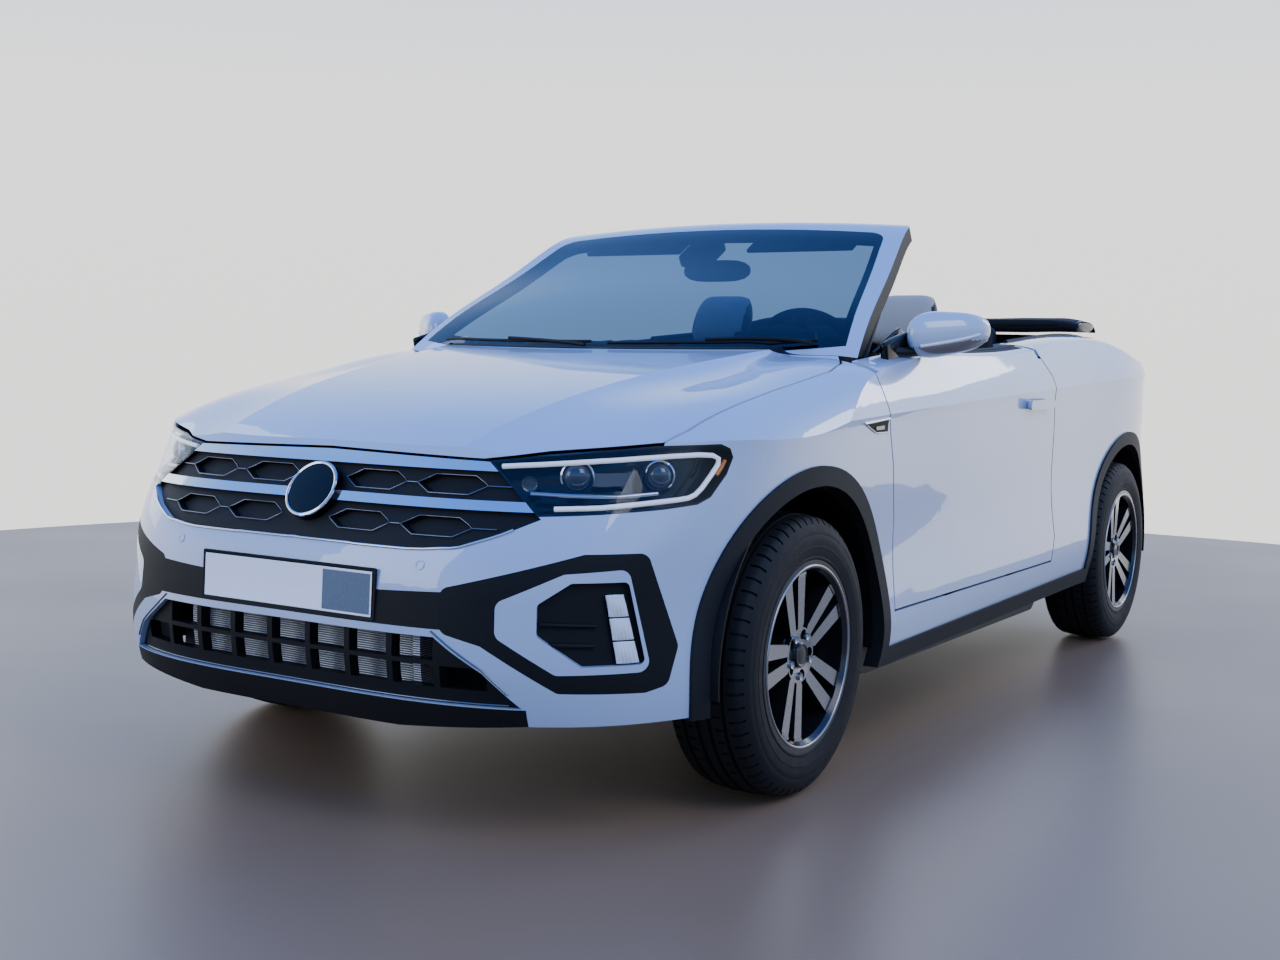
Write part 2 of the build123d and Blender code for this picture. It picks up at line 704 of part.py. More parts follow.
# ---------------------------------------------------------------- floor, bulkheads and running gear
dash_x = 960
tunnel_half_width = 150
tunnel_top = 330
exhaust_radius = 24
exhaust_y = -60
exhaust_z = floor_z - floor_thickness / 2 + 2 + exhaust_radius
exhaust_channel = 110    # width of the channel under the tunnel
cavity = side_body(side_wall + fixed_gap)
with BuildPart() as floor_pan:
    with BuildSketch(Plane(origin=(0, sill_outer_y, 0), x_dir=(1, 0, 0), z_dir=(0, -1, 0))):
        with BuildLine():
            pan_line = FilletPolyline(
                (dash_x, 985), (dash_x, 560), (760, floor_z), (-640, floor_z), (-860, 430), (-1700, 430),
                (-1840, 330), (-1980, 330), (-2020, 640), radius=40)
        trace(line_width=floor_thickness)
    extrude(amount=2 * sill_outer_y)
    with Locations((50, 0, tunnel_top / 2 + floor_z / 2)):
        Box(1500, 2 * tunnel_half_width, tunnel_top - floor_z)
    for side in (1, -1):
        with Locations((178, side * (sill_outer_y - 45), 292)):
            Box(1300, 90, 168)
    with Locations((-1290, 0, 745)):
        Box(30, 2 * 600, 630)
    add(cavity, mode=Mode.INTERSECT)
    add(disc(front_axle_x, arch_radius + 6, front_well_y, far), mode=Mode.SUBTRACT)
    add(mirrored(disc(front_axle_x, arch_radius + 6, front_well_y, far)), mode=Mode.SUBTRACT)
    add(disc(rear_axle_x, arch_radius + 6, rear_well_y - 10, far), mode=Mode.SUBTRACT)
    add(mirrored(disc(rear_axle_x, arch_radius + 6, rear_well_y - 10, far)), mode=Mode.SUBTRACT)
    with Locations((50, exhaust_y, exhaust_z)):
        Box(1900, exhaust_channel, 2 * (exhaust_radius + fixed_gap), mode=Mode.SUBTRACT)
keep(floor_pan.part, "floor_pan")

liner_thickness = 5
strut_y = 590
spring_radius = 66
with BuildPart() as liner:
    for x, inboard in ((front_axle_x, front_well_y), (rear_axle_x, rear_well_y)):
        with BuildSketch(Plane(origin=(x, 858, tyre_radius), x_dir=(1, 0, 0), z_dir=(0, -1, 0))):
            Circle(arch_radius)
            Circle(arch_radius - liner_thickness, mode=Mode.SUBTRACT)
            with Locations((0, -arch_radius)):
                Rectangle(3 * arch_radius, arch_radius * 1.8, mode=Mode.SUBTRACT)
        extrude(amount=858 - inboard)
        with BuildSketch(Plane(origin=(x, inboard + liner_thickness, tyre_radius), x_dir=(1, 0, 0), z_dir=(0, -1, 0))):
            Circle(arch_radius)
            with Locations((0, -arch_radius)):
                Rectangle(3 * arch_radius, arch_radius * 1.8, mode=Mode.SUBTRACT)
        extrude(amount=liner_thickness)
    with Locations((front_axle_x, strut_y, 740)):
        Cylinder(spring_radius + 8, 100, mode=Mode.SUBTRACT)
    with BuildSketch(Plane(origin=(rear_axle_x, rear_well_y - 10, tyre_radius), x_dir=(1, 0, 0), z_dir=(0, 1, 0))):
        Circle(60)
    extrude(amount=30, mode=Mode.SUBTRACT)
keep(both_sides(liner.part), "wheel_liners")

with BuildPart() as engine:
    with Locations((1330, 40, 560)):
        Box(460, 760, 520)
    fillet(engine.edges(), 25)
keep(engine.part, "engine_block")

hub_radius = 62
axle_stub_radius = 24
disc_radius = 150
hub_face_y = wheel_middle_y + 43   # where the wheel bolts to the hub
brake_disc_thickness = 24
brake_disc_y = 745      # inboard face of the brake disc
with BuildPart() as subframe:
    with Locations((1230, 0, 215)):
        Box(260, 900, 70)
    for side in (1, -1):
        with BuildSketch(Plane.XY.offset(196)):
            with BuildLine():
                Polyline((1130, side * 440), (1340, side * 440), (1332, side * 640), (1280, side * 640), close=True)
            make_face()
        extrude(amount=26)
    for side in (1, -1):
        with Locations((front_axle_x, side * strut_y, 545)):
            Cylinder(26, 300)
        with Locations((front_axle_x, side * strut_y, 770)):
            Cylinder(spring_radius, 150)
    with Locations((front_axle_x, 0, 852)):
        Box(120, 1320, 14)
keep(subframe.part, "front_subframe")

with BuildPart() as knuckle:
    with BuildSketch(Plane(origin=(front_axle_x, 652, tyre_radius), x_dir=(1, 0, 0), z_dir=(0, 1, 0))):
        Circle(hub_radius + 14)
    extrude(amount=brake_disc_y - 7 - 652)
    with BuildSketch(Plane(origin=(front_axle_x, 640, tyre_radius), x_dir=(1, 0, 0), z_dir=(0, 1, 0))):
        Circle(axle_stub_radius)
    extrude(amount=hub_face_y - 640)
    with Locations((front_axle_x, 672, 260)):
        Box(60, 40, 80)
    with Locations((front_axle_x - 145, brake_disc_y + 11, tyre_radius)):
        Box(70, 78, 108)
    with Locations((front_axle_x - 82, 705, tyre_radius)):
        Box(110, 34, 60)
    with Locations((front_axle_x - 107, brake_disc_y + 12, tyre_radius)):
        Box(100, brake_disc_thickness + 12, 400, mode=Mode.SUBTRACT)
keep_pair(knuckle.part, "knuckle")

with BuildPart() as rear_axle:
    with Locations((rear_axle_x + 160, 0, 300)):
        Box(90, 1200, 80)
    for side in (1, -1):
        with Locations((rear_axle_x + 60, side * 610, 318)):
            Box(330, 46, 90)
        with BuildSketch(Plane(origin=(rear_axle_x, side * 600, tyre_radius), x_dir=(1, 0, 0), z_dir=(0, side, 0))):
            Circle(24)
        extrude(amount=hub_face_y - 600)
        with Locations((rear_axle_x + 60, side * 560, 378)):
            Cylinder(50, 77)
keep(rear_axle.part, "rear_axle")

silencer_x = -1605
with BuildPart() as exhaust:
    with BuildLine() as route:
        FilletPolyline((1040, exhaust_y, exhaust_z), (-1400, exhaust_y, exhaust_z), (-1520, exhaust_y, 300),
                       (silencer_x, exhaust_y, 300), radius=70)
    with BuildSketch(Plane(origin=route.line @ 0, z_dir=route.line % 0)):
        Circle(exhaust_radius)
    sweep(path=route.line)
    with BuildSketch(Plane(origin=(silencer_x, 0, 335), x_dir=(1, 0, 0), z_dir=(0, -1, 0))):
        RectangleRounded(150, 150, 40)
    extrude(amount=400, both=True)
    with BuildLine() as tail_route:
        FilletPolyline((silencer_x, -330, 285), (-1900, -330, 285), (-1970, -330, 235), radius=50)
    with BuildSketch(Plane(origin=tail_route.line @ 0, z_dir=tail_route.line % 0)):
        Circle(exhaust_radius)
    sweep(path=tail_route.line)
keep(exhaust.part, "exhaust")

# ---------------------------------------------------------------- wheels
tread_half_width = 84
with BuildPart() as tyre:
    with BuildSketch(Plane.XY):
        with BuildLine():
            Polyline((rim_bead_radius, -96), (rim_bead_radius + 15, -96), (rim_bead_radius + 30, -104),
                     (tyre_radius - 42, -tyre_width / 2), (tyre_radius - 8, -tread_half_width),
                     (tyre_radius, -50), (tyre_radius, 50), (tyre_radius - 8, tread_half_width),
                     (tyre_radius - 42, tyre_width / 2), (rim_bead_radius + 30, 104),
                     (rim_bead_radius + 15, 96), (rim_bead_radius, 96), close=True)
        make_face()
    revolve(axis=Axis.Y)
spoke_count = 5
rim_outer = rim_bead_radius - fixed_gap
spoke_back_y = 50       # from the wheel's middle, outboard
spoke_front_y = 92
bolt_circle = 50
bolt_hole_radius = 12
with BuildSketch() as spoke_pair:
    for lean in (-1, 1):
        with BuildLine():
            Polyline((34, lean * 3), (rim_outer - 8, lean * 17), (rim_outer - 8, lean * 56), (66, lean * 34),
                     close=True)
        make_face()
with BuildPart() as rim:
    with BuildSketch(Plane.XY):
        with BuildLine():
            Polyline((rim_outer, -96.3), (rim_outer, 96.3), (rim_outer + 14, 96.3), (rim_outer + 14, 102),
                     (rim_outer - 6, 102), (rim_outer - 14, 92), (rim_outer - 16, -92), (rim_outer - 6, -102),
                     (rim_outer + 14, -102), (rim_outer + 14, -96.3), close=True)
        make_face()
    revolve(axis=Axis.Y)
    with BuildSketch(Plane(origin=(0, spoke_back_y, 0), x_dir=(1, 0, 0), z_dir=(0, 1, 0))):
        Circle(66)
        with PolarLocations(0, spoke_count):
            add(spoke_pair.sketch)
    extrude(amount=spoke_front_y - spoke_back_y)
    # the spokes fall towards the hub
    with BuildSketch(Plane.XY):
        with BuildLine():
            Polyline((0, 74), (34, 74), (60, 78), (rim_outer - 20, spoke_front_y - 2), (rim_outer - 20, 120),
                     (0, 120), close=True)
        make_face()
    revolve(axis=Axis.Y, mode=Mode.SUBTRACT)
    with BuildSketch(Plane(origin=(0, 62, 0), x_dir=(1, 0, 0), z_dir=(0, 1, 0))):
        with PolarLocations(bolt_circle, spoke_count, start_angle=180 / spoke_count):
            Circle(bolt_hole_radius)
    extrude(amount=40, mode=Mode.SUBTRACT)
    with BuildSketch(Plane(origin=(0, 70, 0), x_dir=(1, 0, 0), z_dir=(0, 1, 0))):
        Circle(31)
    extrude(amount=10)
    with BuildSketch(Plane(origin=(0, hub_face_y - wheel_middle_y, 0), x_dir=(1, 0, 0), z_dir=(0, 1, 0))):
        Circle(hub_radius + 8)
    extrude(amount=20)
    with BuildSketch(Plane(origin=(0, brake_disc_y - wheel_middle_y, 0), x_dir=(1, 0, 0), z_dir=(0, 1, 0))):
        Circle(disc_radius)
    extrude(amount=brake_disc_thickness)
    with BuildSketch(Plane(origin=(0, brake_disc_y - wheel_middle_y, 0), x_dir=(1, 0, 0), z_dir=(0, 1, 0))):
        Circle(hub_radius + 8)
    extrude(amount=hub_face_y - brake_disc_y)
    with BuildSketch(Plane(origin=(0, -80, 0), x_dir=(1, 0, 0), z_dir=(0, 1, 0))):
        Circle(axle_stub_radius + 0.05)
    extrude(amount=hub_face_y - wheel_middle_y + 80.3, mode=Mode.SUBTRACT)
places = {
    "front_left": (front_axle_x, 1), "front_right": (front_axle_x, -1),
    "rear_left": (rear_axle_x, 1), "rear_right": (rear_axle_x, -1),
}
for name, (x, side) in places.items():
    here = Location((x, wheel_middle_y, tyre_radius))
    for shape, word in ((tyre.part, "tyre_"), (rim.part, "rim_")):
        placed = shape.moved(here)
        keep(placed if side == 1 else mirrored(placed), word + name)

# ---------------------------------------------------------------- cabin
dash_half_width = cabin_half_width
column_start = Vector(700, 370, 860)
column_end = Vector(345, 370, 985)
column_axis = (column_end - column_start).normalized()
column_radius = 30
with BuildPart() as dashboard:
    with BuildSketch(Plane(origin=(0, dash_half_width, 0), x_dir=(1, 0, 0), z_dir=(0, -1, 0))) as section:
        with BuildLine():
            Polyline((dash_x - 14, 940), (838, 980), (760, 1000), (690, 1010), (600, 1030), (470, 1010), (455, 930), (500, 800),
                     (560, 640), (dash_x - 14, 640), close=True)
        make_face()
        fillet(section.vertices().group_by(Axis.X)[0], 18)
    extrude(amount=2 * dash_half_width)
    with BuildSketch(Plane(origin=column_start, z_dir=column_axis)):
        Circle(column_radius + fixed_gap)
    extrude(amount=600, mode=Mode.SUBTRACT)
keep(dashboard.part, "dashboard")

with BuildPart() as console:
    with BuildSketch(Plane(origin=(0, 105, 0), x_dir=(1, 0, 0), z_dir=(0, -1, 0))) as section:
        with BuildLine():
            Polyline((620, 332), (560, 636), (430, 600), (300, 560), (-60, 560), (-80, 640), (-330, 640),
                     (-350, 332), close=True)
        make_face()
    extrude(amount=210)
keep(console.part, "centre_console")

seat_middle_y = 355
seat_width = 490
seat_hip_x = -80        # foot of the backrest
seat_foot_z = floor_z + floor_thickness / 2 + fixed_gap
back_lean = math.radians(23)
back_height = 640
back_thickness = 115
head_rest_rise = 672    # up the backrest to the head restraint's lower edge


def back_plane(x, y, z, lean):
    """Plane of a backrest's front face: across, then up the slope."""
    return Plane(origin=(x, y, z), x_dir=(0, 1, 0), z_dir=(math.cos(lean), 0, math.sin(lean)))


with BuildPart() as front_seat:
    with BuildSketch(Plane(origin=(0, seat_middle_y + seat_width / 2, 0), x_dir=(1, 0, 0), z_dir=(0, -1, 0))) as side:
        with BuildLine():
            Polyline((seat_hip_x + 435, 428), (seat_hip_x + 446, 520), (seat_hip_x + 400, 552),
                     (seat_hip_x + 180, 536), (seat_hip_x, 512), (seat_hip_x - 140, 500),
                     (seat_hip_x - 150, 400), close=True)
        make_face()
        fillet(side.vertices().group_by(Axis.X)[-1], 24)
    extrude(amount=seat_width)
    # the sat-on middle lies between raised sides
    with BuildSketch(Plane(origin=(0, seat_middle_y + 150, 0), x_dir=(1, 0, 0), z_dir=(0, -1, 0))):
        with BuildLine():
            Polyline((seat_hip_x + 420, 640), (seat_hip_x + 405, 538), (seat_hip_x + 180, 518),
                     (seat_hip_x, 496), (seat_hip_x, 640), close=True)
        make_face()
    extrude(amount=300, mode=Mode.SUBTRACT)
    with BuildSketch(back_plane(seat_hip_x, seat_middle_y, 470, back_lean)) as back:
        with BuildLine():
            Polyline((-238, 0), (238, 0), (245, 250), (240, 430), (190, 560), (110, back_height),
                     (-110, back_height), (-190, 560), (-240, 430), (-245, 250), close=True)
        make_face()
        fillet(back.vertices(), 30)
    extrude(amount=-back_thickness)
    with BuildSketch(back_plane(seat_hip_x, seat_middle_y, 470, back_lean)) as back_middle:
        with BuildLine():
            Polyline((-150, 40), (150, 40), (160, 400), (95, 590), (-95, 590), (-160, 400), close=True)
        make_face()
        fillet(back_middle.vertices(), 24)
    extrude(amount=-16, mode=Mode.SUBTRACT)
    with BuildSketch(back_plane(seat_hip_x, seat_middle_y, 470, back_lean)) as rest:
        with BuildLine():
            Polyline((-118, head_rest_rise), (118, head_rest_rise), (124, head_rest_rise + 110),
                     (92, head_rest_rise + 195), (-92, head_rest_rise + 195), (-124, head_rest_rise + 110),
                     close=True)
        make_face()
        fillet(rest.vertices(), 34)
    extrude(amount=-92)
    with BuildSketch(back_plane(seat_hip_x, seat_middle_y, 470, back_lean).offset(-60)):
        with Locations((-60, head_rest_rise - 20), (60, head_rest_rise - 20)):
            Rectangle(14, 80)
    extrude(amount=14)
    with Locations((seat_hip_x + 150, seat_middle_y, seat_foot_z + (440 - seat_foot_z) / 2)):
        Box(380, 380, 440 - seat_foot_z)
keep_pair(front_seat.part, "front_seat")

rear_seat_half_width = 560
rear_back_lean = math.radians(14)
with BuildPart() as rear_seat:
    with BuildSketch(Plane(origin=(0, rear_seat_half_width, 0), x_dir=(1, 0, 0), z_dir=(0, -1, 0))) as side:
        with BuildLine():
            Polyline((-560, 443.3), (-548, 530), (-600, 548), (-1000, 505), (-1122, 1040), (-1160, 1076),
                     (-1230, 1080), (-1268, 1040), (-1268, 443.3), close=True)
        make_face()
        fillet([v for v in side.vertices() if v.Y > 480], 18)
    extrude(amount=2 * rear_seat_half_width)
    for side in (1, -1):
        with BuildSketch(back_plane(-1000, side * 290, 505, rear_back_lean)) as hollow:
            RectangleRounded(400, 900, 60)
        extrude(amount=-14, mode=Mode.SUBTRACT)
        with BuildSketch(back_plane(-1125, side * 290, 1030, rear_back_lean)) as rest:
            with Locations((0, 95)):
                RectangleRounded(250, 140, 45)
        extrude(amount=-70)
keep(rear_seat.part, "rear_seat")

roof_half_width = 705
roof_tongue_half_width = 668
bulkhead_x = -1290
bulkhead_thickness = 30
deck_top_z = 1147       # the folded roof rests just above the deck behind the seats
roof_front_x = bulkhead_x + 48
with BuildPart() as soft_top:
    with BuildSketch(Plane(origin=(0, roof_half_width, 0), x_dir=(1, 0, 0), z_dir=(0, -1, 0))) as side:
        with BuildLine():
            Polyline((roof_front_x, deck_top_z), (roof_front_x, 1172), (-1272, 1196), (-1345, 1206),
                     (-1425, 1198), (-1468, 1174), (-1484, deck_top_z + 4), (-1484, deck_top_z), close=True)
        make_face()
        fillet([v for v in side.vertices() if v.Y > 1160], 14)
    extrude(amount=2 * roof_half_width)
    fillet(soft_top.edges().filter_by(Axis.Z), 4)
    with BuildSketch(Plane(origin=(0, roof_tongue_half_width, 0), x_dir=(1, 0, 0), z_dir=(0, -1, 0))):
        with BuildLine():
            Polyline((bulkhead_x - bulkhead_thickness / 2 - fixed_gap, 1050), (deck_front_x + fixed_gap + 2, 1050),
                     (deck_front_x + fixed_gap + 2, 1160), (roof_front_x + 6, 1160), (roof_front_x + 6, 1110),
                     (bulkhead_x - bulkhead_thickness / 2 - fixed_gap, 1100), close=True)
        make_face()
    extrude(amount=2 * roof_tongue_half_width)
keep(soft_top.part, "soft_top")

with BuildPart() as column:
    with BuildSketch(Plane(origin=column_start, z_dir=column_axis)):
        Circle(column_radius)
    extrude(amount=(column_end - column_start).length - 60)
    with BuildSketch(Plane(origin=column_start + column_axis * 40, z_dir=column_axis)):
        Circle(12.05)
    extrude(amount=600, mode=Mode.SUBTRACT)
keep(column.part, "steering_column")
wheel_rim_radius = 182
with BuildPart() as steering:
    with BuildSketch(Plane(origin=column_end, z_dir=column_axis)) as hub_face:
        Circle(48)
    extrude(amount=30)
    with BuildSketch(Plane(origin=column_start + column_axis * 45, z_dir=column_axis)):
        Circle(12)
    extrude(amount=(column_end - column_start).length - 45)
    ring_plane = Plane(origin=column_end + column_axis * 22, z_dir=column_axis)
    with BuildSketch(Plane(origin=ring_plane.origin, x_dir=ring_plane.x_dir, z_dir=ring_plane.y_dir)):
        with Locations((wheel_rim_radius, 0)):
            Circle(15)
    revolve(axis=Axis(ring_plane.origin, ring_plane.z_dir))
    with BuildSketch(Plane(origin=column_end + column_axis * 12, x_dir=(0, 1, 0), z_dir=column_axis)):
        Rectangle(2 * wheel_rim_radius, 34)
        with Locations((0, -wheel_rim_radius / 2)):
            Rectangle(34, wheel_rim_radius)
    extrude(amount=16)
keep(steering.part, "steering_wheel")

# ---------------------------------------------------------------- door mirrors
with BuildPart() as mirror_head:
    with BuildSketch(Plane.XY.offset(1066)) as head:
        with BuildLine():
            Polyline((472, 798), (640, 798), (676, 850), (648, 930), (570, 985), (484, 992), (462, 900), close=True)
        make_face()
        fillet(head.vertices(), 26)
    extrude(amount=97, taper=6)
    fillet(mirror_head.edges().group_by(Axis.Z)[-1], 22)
    with BuildSketch(Plane.XY.offset(1044)) as chin:
        with BuildLine():
            Polyline((490, 872), (640, 872), (625, 930), (555, 975), (490, 980), close=True)
        make_face()
        fillet(chin.vertices(), 12)
    extrude(amount=22)
    with BuildSketch(Plane.XY.offset(1040)):
        with BuildLine():
            Polyline((560, 800), (560, 850), (650, 850), (800, 840), (820, 800), close=True)
        make_face()
    extrude(amount=36)
    add(outer, mode=Mode.SUBTRACT)
keep_pair(largest(mirror_head.part), "mirror")
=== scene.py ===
import json
from math import atan2, copysign, cos, exp, hypot, pi, radians, sin, tau

import bpy
from bpy.props import FloatProperty, FloatVectorProperty, PointerProperty
from mathutils import Euler, Matrix, Vector
from mathutils.bvhtree import BVHTree

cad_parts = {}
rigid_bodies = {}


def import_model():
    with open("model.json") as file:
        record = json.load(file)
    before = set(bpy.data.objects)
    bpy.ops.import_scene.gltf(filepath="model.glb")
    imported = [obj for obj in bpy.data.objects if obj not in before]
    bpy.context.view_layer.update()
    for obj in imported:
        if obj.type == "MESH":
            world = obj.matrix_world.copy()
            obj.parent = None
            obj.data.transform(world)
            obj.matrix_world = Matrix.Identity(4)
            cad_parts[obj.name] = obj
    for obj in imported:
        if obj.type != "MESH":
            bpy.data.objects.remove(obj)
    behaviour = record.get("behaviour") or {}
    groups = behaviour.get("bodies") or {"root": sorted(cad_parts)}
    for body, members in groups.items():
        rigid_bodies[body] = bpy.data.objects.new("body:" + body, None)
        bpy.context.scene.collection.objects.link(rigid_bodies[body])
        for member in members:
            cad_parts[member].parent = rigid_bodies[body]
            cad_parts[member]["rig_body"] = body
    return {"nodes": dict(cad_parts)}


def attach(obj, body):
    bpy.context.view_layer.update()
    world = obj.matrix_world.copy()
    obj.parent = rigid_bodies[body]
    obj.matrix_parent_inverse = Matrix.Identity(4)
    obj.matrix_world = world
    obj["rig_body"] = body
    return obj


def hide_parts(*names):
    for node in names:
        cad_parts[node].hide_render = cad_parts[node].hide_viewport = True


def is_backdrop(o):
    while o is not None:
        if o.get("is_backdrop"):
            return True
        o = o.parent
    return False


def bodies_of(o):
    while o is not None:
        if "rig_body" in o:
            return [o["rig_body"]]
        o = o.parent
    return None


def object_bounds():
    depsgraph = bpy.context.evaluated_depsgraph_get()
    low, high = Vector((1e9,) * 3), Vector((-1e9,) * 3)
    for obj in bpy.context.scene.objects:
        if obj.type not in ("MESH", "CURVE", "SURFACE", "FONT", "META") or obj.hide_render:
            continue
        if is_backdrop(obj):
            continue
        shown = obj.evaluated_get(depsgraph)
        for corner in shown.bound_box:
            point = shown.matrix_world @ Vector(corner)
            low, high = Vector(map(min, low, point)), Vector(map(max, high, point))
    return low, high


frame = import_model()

bl_info = {
    "name": "Compact Open SUV Dresser",
    "version": (1, 0, 0),
    "blender": (4, 5, 0),
    "location": "View3D > Sidebar > Open SUV",
    "description": "Finishes and details for a packed compact SUV with a folding soft top",
    "category": "Object",
}

CAD_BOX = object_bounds()
MM = 0.001


# ---------------------------------------------------------------- colours and nodes
def srgb(code):
    """Linear colour of an sRGB hex code."""
    parts = [int(code[i:i + 2], 16) / 255 for i in (0, 2, 4)]
    linear = [p / 12.92 if p <= 0.04045 else ((p + 0.055) / 1.055) ** 2.4 for p in parts]
    return tuple(linear) + (1.0,)


def toned(colour, gain, lift=0.0):
    """A lighter or darker tone of a colour."""
    return tuple(c * gain + lift for c in colour[:3]) + (1.0,)


def add(tree, kind, inputs=None, **settings):
    """Adds one node, sets its properties and then sets or links its inputs."""
    node = tree.nodes.new(kind)
    for name, value in settings.items():
        setattr(node, name, value)
    for socket, value in (inputs or {}).items():
        if isinstance(value, bpy.types.NodeSocket):
            tree.links.new(value, node.inputs[socket])
        else:
            node.inputs[socket].default_value = value
    return node


def empty_tree(owner):
    """Switches the nodes of a material or world on and clears them."""
    owner.use_nodes = True
    owner.node_tree.nodes.clear()
    return owner.node_tree


def blank(name, **surface):
    """A material with a Principled shader, its tree, the shader and the object coordinates."""
    material = bpy.data.materials.new(name)
    tree = empty_tree(material)
    shader = add(tree, "ShaderNodeBsdfPrincipled", surface)
    add(tree, "ShaderNodeOutputMaterial", {"Surface": shader.outputs["BSDF"]})
    place = add(tree, "ShaderNodeTexCoord").outputs["Object"]
    return material, tree, shader, place


def noise(tree, place, size, detail=3.0, roughness=0.55):
    """Noise whose features are about size metres across."""
    node = add(tree, "ShaderNodeTexNoise", {
        "Vector": place, "Scale": 1 / size, "Detail": detail, "Roughness": roughness})
    return node.outputs["Fac"]


def span(tree, value, low, high):
    """Maps 0-1 onto low-high."""
    return add(tree, "ShaderNodeMapRange", {"Value": value, "To Min": low, "To Max": high}).outputs["Result"]


def mix(tree, factor, one, other):
    """Mixes two colours, or the sockets that carry them."""
    node = add(tree, "ShaderNodeMix", {0: factor, 6: one, 7: other}, data_type="RGBA")
    return node.outputs[2]


def tint(tree, shader, factor, one, other):
    """Colours the surface with a mix of two colours."""
    tree.links.new(mix(tree, factor, one, other), shader.inputs["Base Color"])


def haze(tree, shader, value, low, high):
    """Lets the roughness follow a 0-1 value between low and high."""
    tree.links.new(span(tree, value, low, high), shader.inputs["Roughness"])


def bump(tree, shader, height, depth, strength):
    """Raises the surface by depth where height is 1."""
    node = add(tree, "ShaderNodeBump", {"Height": height, "Distance": depth, "Strength": strength})
    tree.links.new(node.outputs["Normal"], shader.inputs["Normal"])


# ---------------------------------------------------------------- finishes
def gloss_paint(name, colour):
    """Baked acrylic body paint under clear lacquer: a soft base, white on the car but given pale blue as
    painted sky reflection, sharp reflections on top.
    """
    material, tree, shader, place = blank(name, **{
        "Roughness": 0.38, "Coat Weight": 1.0, "Coat Roughness": 0.03, "Coat IOR": 1.75})
    tone = noise(tree, place, 0.35, detail=2.0)
    deep = toned(colour, 0.94)
    tint(tree, shader, tone, deep, colour)
    # orange peel, drawn a little coarser than the real 3 mm so that it shows
    bump(tree, shader, noise(tree, place, 6 * MM, detail=1.0), 0.02 * MM, 0.25)
    return material


def gloss_plastic(name, colour, roughness=0.09, shine=0.5):
    """Injection-moulded ABS, polished: near-mirror black or white with faint flow marks."""
    material, tree, shader, place = blank(name, **{
        "Base Color": colour, "IOR": 1.52, "Specular IOR Level": shine})
    haze(tree, shader, noise(tree, place, 40 * MM), roughness * 0.8, roughness * 1.3)
    bump(tree, shader, noise(tree, place, 9 * MM, detail=1.0), 0.02 * MM, 0.25)
    return material


def grained_plastic(name, colour, grain=1.6 * MM, depth=0.25 * MM, roughness=0.62):
    """Moulded polypropylene with an etched leather grain: dull, slightly uneven, pale at the peaks."""
    material, tree, shader, place = blank(name, **{"IOR": 1.49, "Specular IOR Level": 0.28})
    cells = add(tree, "ShaderNodeTexVoronoi", {"Vector": place, "Scale": 1 / grain},
                feature="SMOOTH_F1").outputs["Distance"]
    worn = toned(colour, 1.4, 0.001)
    tint(tree, shader, noise(tree, place, 90 * MM), colour, worn)
    haze(tree, shader, cells, roughness - 0.1, roughness + 0.08)
    bump(tree, shader, cells, depth, 0.6)
    return material


def chrome(name, colour, roughness=0.06):
    """Chromium on polished plastic: a cool mirror with a trace of haze."""
    material, tree, shader, place = blank(name, **{"Base Color": colour, "Metallic": 1.0})
    haze(tree, shader, noise(tree, place, 25 * MM), roughness * 0.6, roughness * 1.8)
    return material


def machined_alloy(name, colour):
    """Cast aluminium faced on a lathe and lacquered: bright, with fine turning lines."""
    material, tree, shader, place = blank(name, **{
        "Base Color": colour, "Metallic": 1.0, "Coat Weight": 0.6, "Coat Roughness": 0.08})
    lines = noise(tree, place, 1.2 * MM, detail=1.0)
    haze(tree, shader, lines, 0.16, 0.34)
    bump(tree, shader, lines, 0.03 * MM, 0.3)
    return material


def rubber(name, colour):
    """Vulcanised tyre rubber with carbon black: matt, a little dusty where it meets the road."""
    material, tree, shader, place = blank(name, **{"IOR": 1.52, "Specular IOR Level": 0.3})
    dust = noise(tree, place, 30 * MM, detail=5.0)
    grey = toned(colour, 1.8, 0.002)
    tint(tree, shader, dust, colour, grey)
    haze(tree, shader, dust, 0.55, 0.8)
    bump(tree, shader, noise(tree, place, 2 * MM), 0.15 * MM, 0.5)
    return material


def clear_glass(name, hue):
    """Laminated safety glass: almost clear, a cool tint, sharp reflections."""
    material = bpy.data.materials.new(name)
    tree = empty_tree(material)
    place = add(tree, "ShaderNodeTexCoord").outputs["Object"]
    smear = noise(tree, place, 0.25, detail=4.0)
    gloss = add(tree, "ShaderNodeBsdfGlossy", {
        "Color": (0.9, 0.95, 1.0, 1.0), "Roughness": span(tree, smear, 0.0, 0.03)})
    through = add(tree, "ShaderNodeBsdfTransparent", {"Color": hue})
    fresnel = add(tree, "ShaderNodeFresnel", {"IOR": 1.4}).outputs["Fac"]
    # the inner face of the pane lets everything through, so that light doesn't stay in the glass
    behind = add(tree, "ShaderNodeNewGeometry").outputs["Backfacing"]
    front = add(tree, "ShaderNodeMath", {0: 1.0, 1: behind}, operation="SUBTRACT").outputs["Value"]
    share = add(tree, "ShaderNodeMath", {0: fresnel, 1: front}, operation="MULTIPLY").outputs["Value"]
    shader = add(tree, "ShaderNodeMixShader", {
        0: share, 1: through.outputs["BSDF"], 2: gloss.outputs["BSDF"]})
    add(tree, "ShaderNodeOutputMaterial", {"Surface": shader.outputs["Shader"]})
    return material


def painted_steel(name, colour, roughness=0.5):
    """Dipped or powder-coated steel: satin, faintly speckled."""
    material, tree, shader, place = blank(name, **{"IOR": 1.5})
    speck = noise(tree, place, 5 * MM, detail=4.0)
    pale = toned(colour, 1.7, 0.004)
    tint(tree, shader, speck, colour, pale)
    haze(tree, shader, speck, roughness - 0.1, roughness + 0.15)
    bump(tree, shader, speck, 0.1 * MM, 0.4)
    return material


